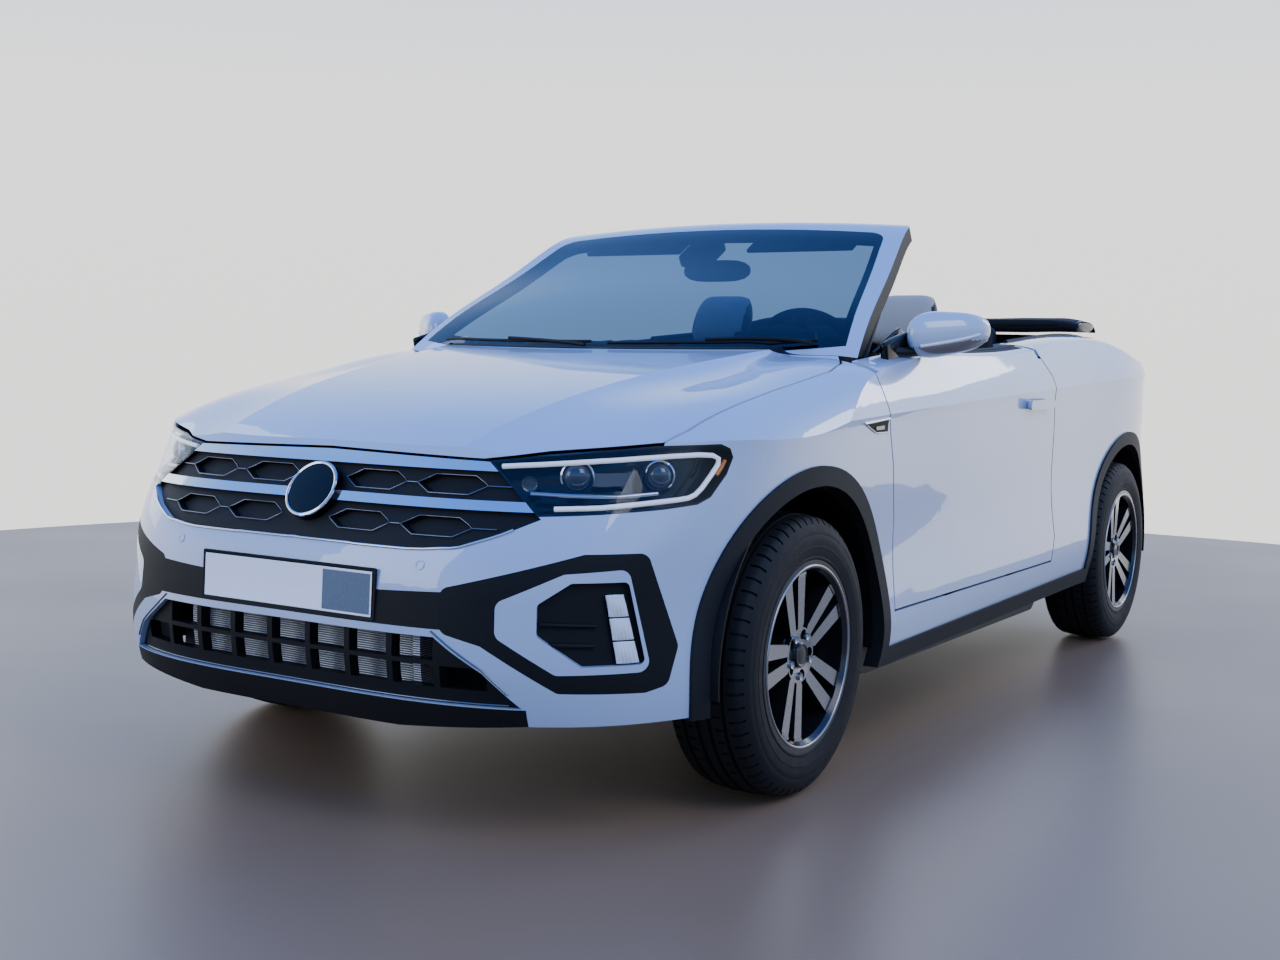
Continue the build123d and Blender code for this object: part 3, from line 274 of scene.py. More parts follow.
def raw_iron(name, colour):
    """Sand-cast iron, machined where it works: dark metal with a rough skin."""
    material, tree, shader, place = blank(name, **{"Metallic": 0.85})
    skin = noise(tree, place, 3 * MM, detail=5.0)
    rust = tuple(a * b for a, b in zip(colour[:3], (1.25, 0.85, 0.65))) + (1.0,)
    tint(tree, shader, noise(tree, place, 60 * MM), colour, rust)
    haze(tree, shader, skin, 0.35, 0.65)
    bump(tree, shader, skin, 0.2 * MM, 0.5)
    return material


def woven(name, colour, thread=1.6 * MM, sheen=0.35):
    """Flat-woven acrylic or polyester cloth: crossing threads, soft sheen, no gloss."""
    material, tree, shader, place = blank(name, **{
        "Roughness": 0.9, "Sheen Weight": sheen, "Sheen Roughness": 0.45, "Specular IOR Level": 0.2})
    across = add(tree, "ShaderNodeTexWave", {"Vector": place, "Scale": 0.5 / thread, "Distortion": 0.6},
                 bands_direction="X").outputs["Fac"]
    along = add(tree, "ShaderNodeTexWave", {"Vector": place, "Scale": 0.5 / thread, "Distortion": 0.6},
                bands_direction="Y").outputs["Fac"]
    cross = add(tree, "ShaderNodeMath", {0: across, 1: along}, operation="MULTIPLY").outputs["Value"]
    # the hollows between the threads are painted darker: painted shade in the weave
    dark = toned(colour, 0.72)
    tint(tree, shader, cross, dark, colour)
    bump(tree, shader, cross, 0.3 * MM, 0.6)
    return material


def soft_hide(name, colour):
    """Grained and dyed synthetic leather: fine pebbles, low soft gloss."""
    material, tree, shader, place = blank(name, **{
        "Sheen Weight": 0.1, "IOR": 1.46, "Specular IOR Level": 0.35})
    pebble = add(tree, "ShaderNodeTexVoronoi", {"Vector": place, "Scale": 1 / (2.2 * MM)},
                 feature="F1").outputs["Distance"]
    warm = toned(colour, 0.86)
    tint(tree, shader, noise(tree, place, 120 * MM), warm, colour)
    haze(tree, shader, pebble, 0.42, 0.6)
    bump(tree, shader, pebble, 0.2 * MM, 0.45)
    return material


def finned(name, colour):
    """Brazed aluminium tubes with folded strip between them: level rows, grey and dull."""
    material, tree, shader, place = blank(name, **{"Metallic": 0.9, "Roughness": 0.45})
    # rows drawn at the real 8 mm tube spacing; the strip between them is too fine to show and is painted dark
    # instead, a painted shade between the tubes
    fins = add(tree, "ShaderNodeTexWave", {"Vector": place, "Scale": 0.5 / (8 * MM), "Distortion": 0.2},
               bands_direction="Z").outputs["Fac"]
    # the gaps between the tubes are a quarter as bright: painted shade
    dark = toned(colour, 0.25)
    tint(tree, shader, fins, dark, colour)
    bump(tree, shader, fins, 1.0 * MM, 0.8)
    return material


def perforated(name, colour, pitch=5 * MM):
    """Punched sheet over a speaker: satin black with rows of dark holes."""
    material, tree, shader, place = blank(name, **{"Roughness": 0.45})
    holes = add(tree, "ShaderNodeTexVoronoi", {"Vector": place, "Scale": 1 / pitch, "Randomness": 0.0},
                feature="F1").outputs["Distance"]
    edge = add(tree, "ShaderNodeMapRange", {
        "Value": holes, "From Min": 0.25, "From Max": 0.35}).outputs["Result"]
    # the holes are painted near black: the dark speaker behind them and painted shade in the holes
    tint(tree, shader, edge, srgb("020202"), colour)
    bump(tree, shader, edge, 0.8 * MM, 0.8)
    return material


def glowing(name, colour, strength):
    """Frosted acrylic lit along its length: milky white with a faint glow."""
    material, tree, shader, place = blank(name, **{
        "Base Color": colour, "Emission Color": colour, "Emission Strength": strength, "IOR": 1.49})
    haze(tree, shader, noise(tree, place, 12 * MM), 0.18, 0.34)
    return material


def optic(name, colour):
    """Thick moulded glass over a dark chamber: deep grey-blue, paler where seen side-on as a painted
    reflection, wet and sharp.
    """
    material, tree, shader, place = blank(name, **{"IOR": 1.52, "Coat Weight": 1.0, "Coat Roughness": 0.02})
    # the colour pales as the surface turns side-on to the viewer: a painted reflection on the lens
    depth = add(tree, "ShaderNodeLayerWeight", {"Blend": 0.35}).outputs["Facing"]
    pale = toned(colour, 5, 0.05)
    tint(tree, shader, depth, colour, pale)
    haze(tree, shader, noise(tree, place, 20 * MM), 0.03, 0.08)
    return material


class SuvColours(bpy.types.PropertyGroup):
    # the white lacquer is drawn pale blue and darker than white: painted reflection of the blue sky and painted
    # shade
    paint: FloatVectorProperty(name="Body paint", description="Colour of the lacquered panels",
                               default=srgb("B2C4DF"), size=4, subtype="COLOR", min=0, max=1)
    cladding: FloatVectorProperty(name="Cladding", description="Grained plastic round the arches and sills",
                                  default=srgb("17181A"), size=4, subtype="COLOR", min=0, max=1)
    floor: FloatVectorProperty(name="Floor", description="Studio floor",
                               default=srgb("93785F"), size=4, subtype="COLOR", min=0, max=1)


class SuvSizes(bpy.types.PropertyGroup):
    lens: FloatProperty(name="Lens", description="Focal length on a 36 mm sensor, in millimetres",
                        default=43.70, min=10, max=200)


def colours():
    """The tints that the panel offers."""
    return bpy.context.scene.suv_colours


# short name: maker, the material's own name, its sRGB colour and the maker's other values
RECIPES = {
    "gloss_black": (gloss_plastic, "polished_abs_black", "030304", 0.08, 0.26),
    "matt_black": (grained_plastic, "moulded_polypropylene_black", "070708"),
    "chrome": (chrome, "chromed_abs", "D9DCE0"),
    "alloy": (machined_alloy, "machined_aluminium", "94969B"),
    "alloy_dark": (gloss_plastic, "lacquered_aluminium_dark_grey", "17181A", 0.16),
    "rubber": (rubber, "tyre_rubber", "0C0C0D"),
    "red_lens": (gloss_plastic, "red_acrylic", "7A0A10", 0.06),
    "steel": (painted_steel, "dipped_steel_black", "121314"),
    "iron": (raw_iron, "cast_iron", "6A6A6C"),
    "dash": (grained_plastic, "slush_moulded_dash_skin", "101112", 1.1 * MM, 0.2 * MM, 0.7),
    "seat_cloth": (woven, "woven_seat_cloth", "D9CFBE"),
    "seat_side": (soft_hide, "synthetic_leather_black", "0E0D0D"),
    "steel_bright": (machined_alloy, "zinc_plated_steel", "A9ABAE"),
    "chrome_dark": (chrome, "dark_chromed_abs", "7C7F84", 0.12),
    "chrome_satin": (chrome, "satin_chromed_abs", "B4B7BB", 0.16),
    "radiator_fins": (finned, "brazed_aluminium_fins", "C4C7CA"),
    "exhaust": (raw_iron, "stainless_steel_heat_tinted", "8C8880"),
    "light_guide": (glowing, "frosted_acrylic_guide", "F4F7FA", 0.35),
    "red_glow": (glowing, "red_acrylic_guide", "D01018", 0.5),
    "carpet": (woven, "needled_carpet_black", "141315", 3.0 * MM, 0.15),
    "optic": (optic, "moulded_glass_optic", "20242A"),
    "amber": (gloss_plastic, "amber_acrylic", "E07A12", 0.08),
    "plate": (painted_steel, "pressed_reflective_plate", "E9EAEA", 0.35),
    "plate_grey": (painted_steel, "pressed_plate_grey_band", "53636F", 0.35),
    "ribbed_lens": (gloss_plastic, "ribbed_acrylic_white", "E6EAED", 0.12),
    "mesh_black": (perforated, "punched_steel_black", "101012"),
    "mirror_silver": (chrome, "silvered_glass", "E8ECF0", 0.01),
    "visor_cloth": (woven, "knitted_polyester_grey", "6C6A68", 1.4 * MM),
    "roof_cloth": (woven, "acrylic_roof_canvas", "0B0B0C", 1.3 * MM, 0.12),
}
FINISH = {}


def mix_materials():
    """Every finish of the car, by its short name."""
    chosen = colours()
    # the white paint takes the panel's pale blue: painted sky reflection and painted shade
    FINISH["paint"] = gloss_paint("white_lacquer_painted_sky_blue", tuple(chosen.paint))
    FINISH["cladding"] = grained_plastic("moulded_polypropylene_grey", tuple(chosen.cladding))
    FINISH["screen"] = clear_glass("laminated_glass", (0.27, 0.38, 0.51, 1))
    FINISH["lens"] = clear_glass("clear_polycarbonate", (0.93, 0.95, 0.97, 1))
    for name, (make, plain, code, *rest) in RECIPES.items():
        FINISH[name] = make(plain, srgb(code), *rest)


NODE_FINISH = {
    "paint": ["hood", "fender_left", "fender_right", "front_bumper", "body_side_left", "body_side_right",
              "rear_bumper", "trunk_lid", "bumper_rings", "door_left", "door_right", "windscreen_frame",
              "mirror_left", "mirror_right"],
    "red_lens": ["tail_lamps"],
    "radiator_fins": ["radiator"],
    "matt_black": ["bumper_trim", "rear_deck", "cowl", "lower_grille", "front_lip", "fog_panels",
                   "wheel_liners",
                   "upper_grille"],
    "cladding": ["claddings"],
    "lens": ["headlamp_lenses"],
    "gloss_black": ["headlamps"],
    "screen": ["windscreen"],
    "steel": ["floor_pan", "front_subframe", "rear_axle", "steering_column"],
    "exhaust": ["exhaust"],
    "iron": ["engine_block", "knuckle_left", "knuckle_right"],
    "alloy": ["rim_front_left", "rim_front_right", "rim_rear_left", "rim_rear_right"],
    "rubber": ["tyre_front_left", "tyre_front_right", "tyre_rear_left", "tyre_rear_right"],
    "dash": ["dashboard", "centre_console", "steering_wheel"],
    "seat_cloth": ["front_seat_left", "front_seat_right", "rear_seat"],
    "roof_cloth": ["soft_top"],
}


class SUV_OT_finishes(bpy.types.Operator):
    """Mixes the finishes and gives each CAD piece its own"""
    bl_idname = "suv.finishes"
    bl_label = "Finishes"

    def execute(self, context):
        mix_materials()
        for name, nodes in NODE_FINISH.items():
            for node in nodes:
                for slot in frame["nodes"][node].material_slots:
                    slot.material = FINISH[name]
        return {"FINISHED"}


# ---------------------------------------------------------------- modelling helpers
def into(mode):
    """Switches between OBJECT and EDIT mode."""
    bpy.ops.object.mode_set(mode=mode)


def pick_none():
    """Leaves edit mode with nothing selected."""
    if bpy.context.mode != "OBJECT":
        into("OBJECT")
    bpy.ops.object.select_all(action="DESELECT")


def pick(*things):
    """Leaves edit mode and selects only these objects, the first one active."""
    pick_none()
    for thing in things:
        thing.select_set(True)
    bpy.context.view_layer.objects.active = things[0]


def modify(obj, kind, **settings):
    """Adds one modifier and applies it at once."""
    pick(obj)
    modifier = obj.modifiers.new(kind.title(), kind)
    for name, value in settings.items():
        setattr(modifier, name, value)
    bpy.ops.object.modifier_apply(modifier=modifier.name)


def pick_faces(obj, test):
    """Goes into edit mode with just the faces selected that pass the test."""
    pick(obj)
    into("EDIT")
    bpy.ops.mesh.select_mode(type="FACE")
    bpy.ops.mesh.select_all(action="DESELECT")
    into("OBJECT")
    for face in obj.data.polygons:
        face.select = bool(test(face))
    into("EDIT")


def finished(obj, name, looks, body="body", angle=35):
    """Applies the place, smooths, names and paints a piece, and lets it ride on its body."""
    pick(obj)
    bpy.ops.object.transform_apply(location=True, rotation=True, scale=True)
    into("EDIT")
    bpy.ops.mesh.select_all(action="SELECT")
    bpy.ops.mesh.remove_doubles(threshold=0.00001)
    bpy.ops.mesh.normals_make_consistent(inside=False)
    into("OBJECT")
    bpy.ops.object.shade_smooth_by_angle(angle=radians(angle))
    obj.name = obj.data.name = name
    looks = [looks] if isinstance(looks, str) else looks
    if len(obj.data.materials) != len(looks):
        obj.data.materials.clear()
        for look in looks:
            obj.data.materials.append(FINISH[look])
    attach(obj, body)
    return obj


def paint_faces(obj, looks, choose):
    """Gives each face the material whose number choose(face) returns."""
    obj.data.materials.clear()
    for look in looks:
        obj.data.materials.append(FINISH[look])
    for face in obj.data.polygons:
        face.material_index = choose(face)


def block(size, at, bevel=0.0, segments=2, turn=(0, 0, 0)):
    """A cube drawn to size, its edges rounded."""
    pick_none()
    bpy.ops.mesh.primitive_cube_add(size=1, location=at, rotation=turn)
    obj = bpy.context.object
    obj.scale = size
    bpy.ops.object.transform_apply(location=False, rotation=False, scale=True)
    if bevel:
        modify(obj, "BEVEL", width=bevel, segments=segments, limit_method="ANGLE")
    return obj


def button(radius, depth, at, way, sides=32, bevel=0.0, dish=0.0):
    """A short cylinder along way, its face inset and sunk or raised by dish, its rim bevelled."""
    pick_none()
    turn = Vector(way).to_track_quat("Z", "Y").to_euler()
    bpy.ops.mesh.primitive_cylinder_add(radius=radius, depth=depth, vertices=sides, location=at, rotation=turn)
    obj = bpy.context.object
    if dish:
        pick_faces(obj, lambda face: face.normal.z > 0.9)
        bpy.ops.mesh.inset(thickness=radius * 0.22)
        bpy.ops.transform.translate(value=Vector(way).normalized() * dish)
        into("OBJECT")
    if bevel:
        modify(obj, "BEVEL", width=bevel, segments=2, limit_method="ANGLE")
    return obj


def laid(across, along, place):
    """A grid whose points are laid where place(u, v) says, u and v from 0 to 1."""
    pick_none()
    bpy.ops.mesh.primitive_grid_add(x_subdivisions=across, y_subdivisions=along, size=2, location=(0, 0, 0))
    obj = bpy.context.object
    for vertex in obj.data.vertices:
        vertex.co = place((vertex.co.x + 1) / 2, (vertex.co.y + 1) / 2)
    return obj


def tube(points, radius, closed=False, smooth=False, sides=4):
    """A round bead along points."""
    pick_none()
    curve = bpy.data.curves.new("bead", "CURVE")
    curve.dimensions = "3D"
    curve.bevel_depth = radius
    curve.bevel_resolution = sides
    curve.use_fill_caps = True
    line = curve.splines.new("NURBS" if smooth else "POLY")
    line.points.add(len(points) - 1)
    for spot, point in zip(line.points, points):
        spot.co = (*point, 1)
    line.use_cyclic_u = closed
    if smooth:
        line.order_u = 3
        line.use_endpoint_u = not closed
        line.resolution_u = 6
    obj = bpy.data.objects.new("bead", curve)
    bpy.context.scene.collection.objects.link(obj)
    pick(obj)
    bpy.ops.object.convert(target="MESH")
    return bpy.context.object


def lathe(profile, at, axis, steps=64, start=None):
    """Turns a profile of (along the axis, radius) points round the axis."""
    pick_none()
    axis = Vector(axis).normalized()
    out = Vector(start) if start else axis.orthogonal().normalized()
    at = Vector(at)
    bpy.ops.mesh.primitive_plane_add(size=1, location=(0, 0, 0))
    obj = bpy.context.object
    into("EDIT")
    bpy.ops.mesh.select_all(action="SELECT")
    bpy.ops.mesh.delete(type="VERT")
    into("OBJECT")
    mesh = obj.data
    mesh.vertices.add(len(profile))
    for vertex, (along, radius) in zip(mesh.vertices, profile):
        vertex.co = at + axis * along + out * radius
    mesh.edges.add(len(profile) - 1)
    for number, edge in enumerate(mesh.edges):
        edge.vertices = (number, number + 1)
    mesh.update()
    pick(obj)
    into("EDIT")
    bpy.ops.mesh.select_mode(type="VERT")
    bpy.ops.mesh.select_all(action="SELECT")
    bpy.ops.mesh.spin(steps=steps, angle=tau, center=at, axis=axis, dupli=False)
    bpy.ops.mesh.select_all(action="SELECT")
    bpy.ops.mesh.remove_doubles(threshold=0.00002)
    bpy.ops.mesh.normals_make_consistent(inside=False)
    into("OBJECT")
    return obj


def join(things):
    """Several meshes made one."""
    pick(*things)
    if len(things) > 1:
        bpy.ops.object.join()
    return bpy.context.object


def twin(obj, name, shift=(0, 0, 0), flip=False):
    """A copy with its own mesh, moved or mirrored across the car's middle."""
    pick(obj)
    bpy.ops.object.duplicate()
    copy = bpy.context.object
    matrix = Matrix.Translation(Vector(shift))
    if flip:
        matrix = matrix @ Matrix.Diagonal((1, -1, 1, 1))
    copy.data.transform(matrix)
    if flip:
        pick(copy)
        into("EDIT")
        bpy.ops.mesh.select_all(action="SELECT")
        bpy.ops.mesh.flip_normals()
        into("OBJECT")
    copy.name = copy.data.name = name
    return copy


def pair_of(obj, stem, looks, angle=35, bodies=("body", "body")):
    """Finishes a left piece and its mirror image on the right."""
    left = finished(obj, stem + "_left", looks, bodies[0], angle)
    right = twin(left, stem + "_right", flip=True)
    right.parent = None
    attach(right, bodies[1])
    return left, right


SKINS = {}


def skin(*nodes):
    """Ray target made of CAD nodes."""
    if nodes not in SKINS:
        corners, faces = [], []
        for node in nodes:
            mesh = frame["nodes"][node].data
            start = len(corners)
            corners.extend(v.co.copy() for v in mesh.vertices)
            faces.extend(tuple(start + i for i in face.vertices) for face in mesh.polygons)
        SKINS[nodes] = BVHTree.FromPolygons(corners, faces)
    return SKINS[nodes]


def meet(nodes, start, way):
    """Where a ray first meets the nodes, and the surface's normal there."""
    return skin(*nodes).ray_cast(Vector(start), Vector(way))[:2]


def met(spots):
    """The spots that a ray has found."""
    return [spot for spot in spots if spot]


def swell(value, power):
    """A signed power: rounds a circle's section out towards a square as power falls below 1."""
    return copysign(abs(value) ** power, value)


def from_front(nodes, y, z, lift=0.0):
    """Where a ray from ahead meets the nodes, moved forward by lift."""
    spot = meet(nodes, (3, y, z), (-1, 0, 0))[0]
    return Vector((spot.x + lift, y, z)) if spot else None


def from_side(nodes, x, z, lift=0.0):
    """Where a ray from the left meets the nodes, moved outwards by lift."""
    spot = meet(nodes, (x, 2, z), (0, -1, 0))[0]
    return Vector((x, spot.y + lift, z)) if spot else None


def from_above(nodes, x, y, lift=0.0):
    """Where a ray from above meets the nodes, moved up by lift."""
    spot = meet(nodes, (x, y, 3), (0, 0, -1))[0]
    return Vector((x, y, spot.z + lift)) if spot else None


def body_of(node):
    """The body that carries a CAD node."""
    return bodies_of(frame["nodes"][node])[0]


def dressed(node, looks, choose, name):
    """A CAD node's copy painted face by face, shown in place of the node."""
    source = frame["nodes"][node]
    obj = bpy.data.objects.new(name, source.data.copy())
    bpy.context.scene.collection.objects.link(obj)
    obj.matrix_world = source.matrix_world.copy()
    paint_faces(obj, looks, choose)
    obj.data.name = name
    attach(obj, body_of(node))
    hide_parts(node)


# ---------------------------------------------------------------- wheels
WHEELS = {
    "front_left": (1.306, 1), "front_right": (1.306, -1), "rear_left": (-1.324, 1), "rear_right": (-1.324, -1),
}
WHEEL_Y = 0.773
WHEEL_Z = 0.334


def tyre_profile():
    """Half of the tyre's section, from the outer bead to the crown: (from the middle, radius)."""
    return [
        (0.0935, 0.2150), (0.0985, 0.2190), (0.1010, 0.2250), (0.1040, 0.2290), (0.1046, 0.2330),
        (0.1030, 0.2350), (0.1052, 0.2440), (0.1066, 0.2560), (0.1070, 0.2580), (0.1062, 0.2592),
        (0.1070, 0.2720), (0.1060, 0.2850), (0.1054, 0.2860), (0.1056, 0.2872), (0.1030, 0.2980),
        (0.0985, 0.3080), (0.0930, 0.3170), (0.0868, 0.3236), (0.0800, 0.3270), (0.0620, 0.3298),
        (0.0570, 0.3304), (0.0562, 0.3230), (0.0490, 0.3228), (0.0480, 0.3314), (0.0255, 0.3332),
        (0.0200, 0.3334), (0.0192, 0.3256), (0.0108, 0.3255), (0.0100, 0.3336), (0.0, 0.3338),
    ]


class SUV_OT_tyres(bpy.types.Operator):
    """Four road tyres with ribs, grooves, shoulder blocks and ringed sidewalls"""
    bl_idname = "suv.tyres"
    bl_label = "Tyres"

    def execute(self, context):
        half = tyre_profile()
        profile = half + [(-y, radius) for y, radius in half[-2::-1]]
        steps = 186
        tyre = lathe(profile, (0, 0, 0), (0, 1, 0), steps, start=(1, 0, 0))

        def turn_of(face):
            return int(round(atan2(face.center.z, face.center.x) / tau * steps + 0.5)) % steps

        def shoulder(face):
            reach = hypot(face.center.x, face.center.z)
            return 0.3120 < reach and 0.060 < abs(face.center.y) < 0.0960 and turn_of(face) % 3 == 0

        def rib(face):
            reach = hypot(face.center.x, face.center.z)
            return reach > 0.3300 and 0.0270 < abs(face.center.y) < 0.0475 and turn_of(face) % 3 == 1

        pick_faces(tyre, lambda face: shoulder(face) or rib(face))
        bpy.ops.mesh.inset(thickness=0.0024)
        bpy.ops.mesh.extrude_region_shrink_fatten(TRANSFORM_OT_shrink_fatten={"value": -0.0055})
        into("OBJECT")
        for corner, (x, side) in WHEELS.items():
            copy = twin(tyre, "tyre_tread_" + corner, shift=(x, WHEEL_Y, WHEEL_Z))
            if side < 0:
                copy = mirror_in_place(copy)
            finished(copy, "tyre_tread_" + corner, "rubber", body_of("rim_" + corner), 28)
            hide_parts("tyre_" + corner)
        bpy.data.objects.remove(tyre)
        return {"FINISHED"}


def mirror_in_place(obj):
    """Mirrors a mesh across the car's middle plane."""
    obj.data.transform(Matrix.Diagonal((1, -1, 1, 1)))
    return obj


class SUV_OT_rims(bpy.types.Operator):
    """Five double-spoke rims: machined faces, dark pockets, bolts, a blank cap and a valve"""
    bl_idname = "suv.rims"
    bl_label = "Rims"

    def execute(self, context):
        for corner, (x, side) in WHEELS.items():
            node = "rim_" + corner

            def choose(face, x=x, side=side):
                reach = hypot(face.center.x - x, face.center.z - WHEEL_Z)
                cut = reach <= 0.205 and face.normal.y * side > 0.80 and abs(face.center.y) > 0.812
                return 0 if cut else 1

            dressed(node, ["alloy", "alloy_dark"], choose, "rim_faced_" + corner)
            body = body_of("rim_" + corner)
            small = []
            nose = skin(node)
            for number in range(5):
                angle = radians(90 + 72 * number + 36)
                at = Vector((x + 0.050 * cos(angle), side * 1.2, WHEEL_Z + 0.050 * sin(angle)))
                depth = abs(nose.ray_cast(at, Vector((0, -side, 0)))[0].y)
                small.append(button(0.0098, 0.022, (at.x, side * (min(depth, 0.842) + 0.004), at.z),
                                    (0, side, 0), 6, 0.0016, -0.003))
            finished(join(small), "wheel_bolts_" + corner, "steel_bright", body, 30)
            edge = meet((node,), (x + 0.2125, side * 1.2, WHEEL_Z), (0, -side, 0))[0]
            lip = lathe([(-0.004, 0.2085), (0.0010, 0.2095), (0.0022, 0.2115),
                         (0.0022, 0.2145), (0.0006, 0.2160), (-0.004, 0.2165)],
                        (x, edge.y, WHEEL_Z), (0, side, 0), 96)
            finished(lip, "rim_edge_" + corner, "alloy", body, 50)
            face = meet((node,), (x, side * 1.2, WHEEL_Z), (0, -side, 0))[0]
            cap = lathe([(-0.004, 0.0), (-0.004, 0.0285), (0.0015, 0.0292), (0.0030, 0.0275), (0.0026, 0.0225),
                         (0.0018, 0.0215), (0.0030, 0.0120), (0.0034, 0.0)],
                        (x, face.y + side * 0.0008, WHEEL_Z), (0, side, 0), 48)
            finished(cap, "hub_cap_" + corner, "alloy_dark", body)
            valve = tube([(x, side * 0.846, WHEEL_Z + 0.198), (x, side * 0.862, WHEEL_Z + 0.188)], 0.0036)
            finished(valve, "valve_" + corner, "matt_black", body)
        return {"FINISHED"}


class SUV_OT_brakes(bpy.types.Operator):
    """Vented discs with a bright rubbed face and a caliper on each hub carrier"""
    bl_idname = "suv.brakes"
    bl_label = "Brakes"

    def execute(self, context):
        for corner, (x, side) in WHEELS.items():
            carrier = body_of("knuckle_" + corner[6:]) if "front" in corner else "body"
            outer = 0.142 if "front" in corner else 0.128
            inner = side * 0.706 if "front" in corner else side * 0.704
            disc = lathe([(-0.012, 0.060), (-0.012, outer), (-0.004, outer + 0.0005), (-0.003, outer - 0.006),
                          (0.003, outer - 0.006), (0.004, outer + 0.0005), (0.012, outer), (0.012, 0.086),
                          (0.013, 0.082), (0.034, 0.079), (0.037, 0.074), (0.037, 0.030)],
                         (x, inner, WHEEL_Z), (0, side, 0), 72)
            paint_faces(disc, ["alloy", "iron"], lambda face: 0 if (
                abs(face.normal.y) > 0.9 and hypot(face.center.x - x, face.center.z - WHEEL_Z) > 0.09) else 1)
            finished(disc, "brake_disc_" + corner, ["alloy", "iron"], carrier)
            grip = []
            for turn, reach, thick in ((152, 0.112, 0.060), (170, 0.116, 0.072), (188, 0.112, 0.060)):
                angle = radians(turn)
                at = (x + reach * cos(angle), inner, WHEEL_Z + reach * sin(angle))
                grip.append(block((0.070, thick, 0.046), at, 0.008, 2, turn=(0, -angle, 0)))
            finished(join(grip), "brake_caliper_" + corner, "iron", carrier)
        return {"FINISHED"}


# ---------------------------------------------------------------- front lamps and grille
LENS = ("headlamp_lenses",)
NOSE = ("front_bumper", "bumper_trim", "bumper_rings", "lower_grille", "front_lip", "upper_grille")


def behind_lens(points, sink):
    """Spots given as (y, z) on the lamp's lens, moved inwards square to it."""
    found = []
    for y, z in points:
        spot = None
        for nudge in (0.0, 0.003, -0.003, 0.006, -0.006, 0.010):
            spot, normal = meet(LENS, (3, y - nudge, z), (-1, 0, 0))
            if spot:
                break
        if spot:
            found.append(Vector(spot) - Vector(normal) * sink)
    return found


def along(points, spacing):
    """More spots on the straight runs between points."""
    found = []
    for one, other in zip(points, points[1:]):
        run = Vector(other) - Vector(one)
        count = max(1, int(run.length / spacing))
        found.extend(Vector(one) + run * (step / count) for step in range(count))
    found.append(Vector(points[-1]))
    return found


class SUV_OT_headlamps(bpy.types.Operator):
    """Lamp insides: white light guide, projector lenses, chrome rings, reflector steps and amber corner"""
    bl_idname = "suv.headlamps"
    bl_label = "Headlamps"

    def execute(self, context):
        guide = [(0.466, 0.792), (0.560, 0.799), (0.680, 0.809), (0.770, 0.817), (0.800, 0.819), (0.816, 0.817),
                 (0.823, 0.810), (0.823, 0.798), (0.817, 0.775), (0.809, 0.748), (0.803, 0.735), (0.796, 0.729),
                 (0.784, 0.726), (0.740, 0.720), (0.680, 0.713), (0.600, 0.710)]
        spots = behind_lens(along([Vector((y, z)) for y, z in guide], 0.008), 0.008)
        bead = tube(spots, 0.0055)
        pair_of(bead, "light_guide", "light_guide")
        turn = Vector((cos(radians(38)), sin(radians(38)), 0.0))
        modules = ((1.906, 0.626, 0.770, 0.030), (1.786, 0.754, 0.774, 0.027))
        for number, (x, y, z, radius) in enumerate(modules):
            at = Vector((x, y, z)) - turn * 0.034
            ball = lathe([(-0.020, radius), (-0.004, radius), (0.004, radius * 0.97), (0.012, radius * 0.82),
                          (0.018, radius * 0.55), (0.0205, radius * 0.25), (0.021, 0.0)], at, turn, 40)
            pair_of(ball, "projector_lens_%d" % number, "optic")
            ring = lathe([(-0.004, radius + 0.001), (0.006, radius + 0.001), (0.008, radius + 0.003),
                          (0.006, radius + 0.006), (-0.006, radius + 0.007)], at, turn, 40)
            pair_of(ring, "projector_ring_%d" % number, "chrome")
        steps = []
        for number in range(5):
            y = 0.700 - number * 0.010
            spot = behind_lens([(y, 0.776)], 0.034)
            if spot:
                steps.append(block((0.030, 0.0030, 0.030), spot[0], 0.001, 1, turn=(0, 0, radians(-52))))
        pair_of(join(steps), "lamp_fins", "chrome_dark")
        brow = [Vector((0.540, 0.745)), Vector((0.700, 0.738)), Vector((0.760, 0.742))]
        low = behind_lens(along(brow, 0.02), 0.024)
        pair_of(tube(low, 0.006), "lamp_brow", "chrome_satin")
        corner = [Vector((0.830, 0.806)), Vector((0.827, 0.790)), Vector((0.823, 0.775))]
        amber = behind_lens(along(corner, 0.01), 0.008)
        pair_of(tube(amber, 0.0045), "corner_marker", "amber")
        small = behind_lens([(0.530, 0.764)], 0.022)
        pair_of(button(0.017, 0.012, small[0], turn, 32, 0.002, -0.003), "side_beam", "optic")
        return {"FINISHED"}


CELL_PITCH = 0.202
CELL_HALF = (0.088, 0.020)
CELL_ROWS = (0.747, 0.662)
CELL_MIDDLES = (0.78, 1.78)


def hexagon(middle, height, half, tall):
    """The corners of a grille cell: pointed left and right, flat at the top and bottom."""
    flat = half - 2 * tall
    return [(middle - half, height), (middle - flat, height + tall), (middle + flat, height + tall),
            (middle + half, height), (middle + flat, height - tall), (middle - flat, height - tall)]


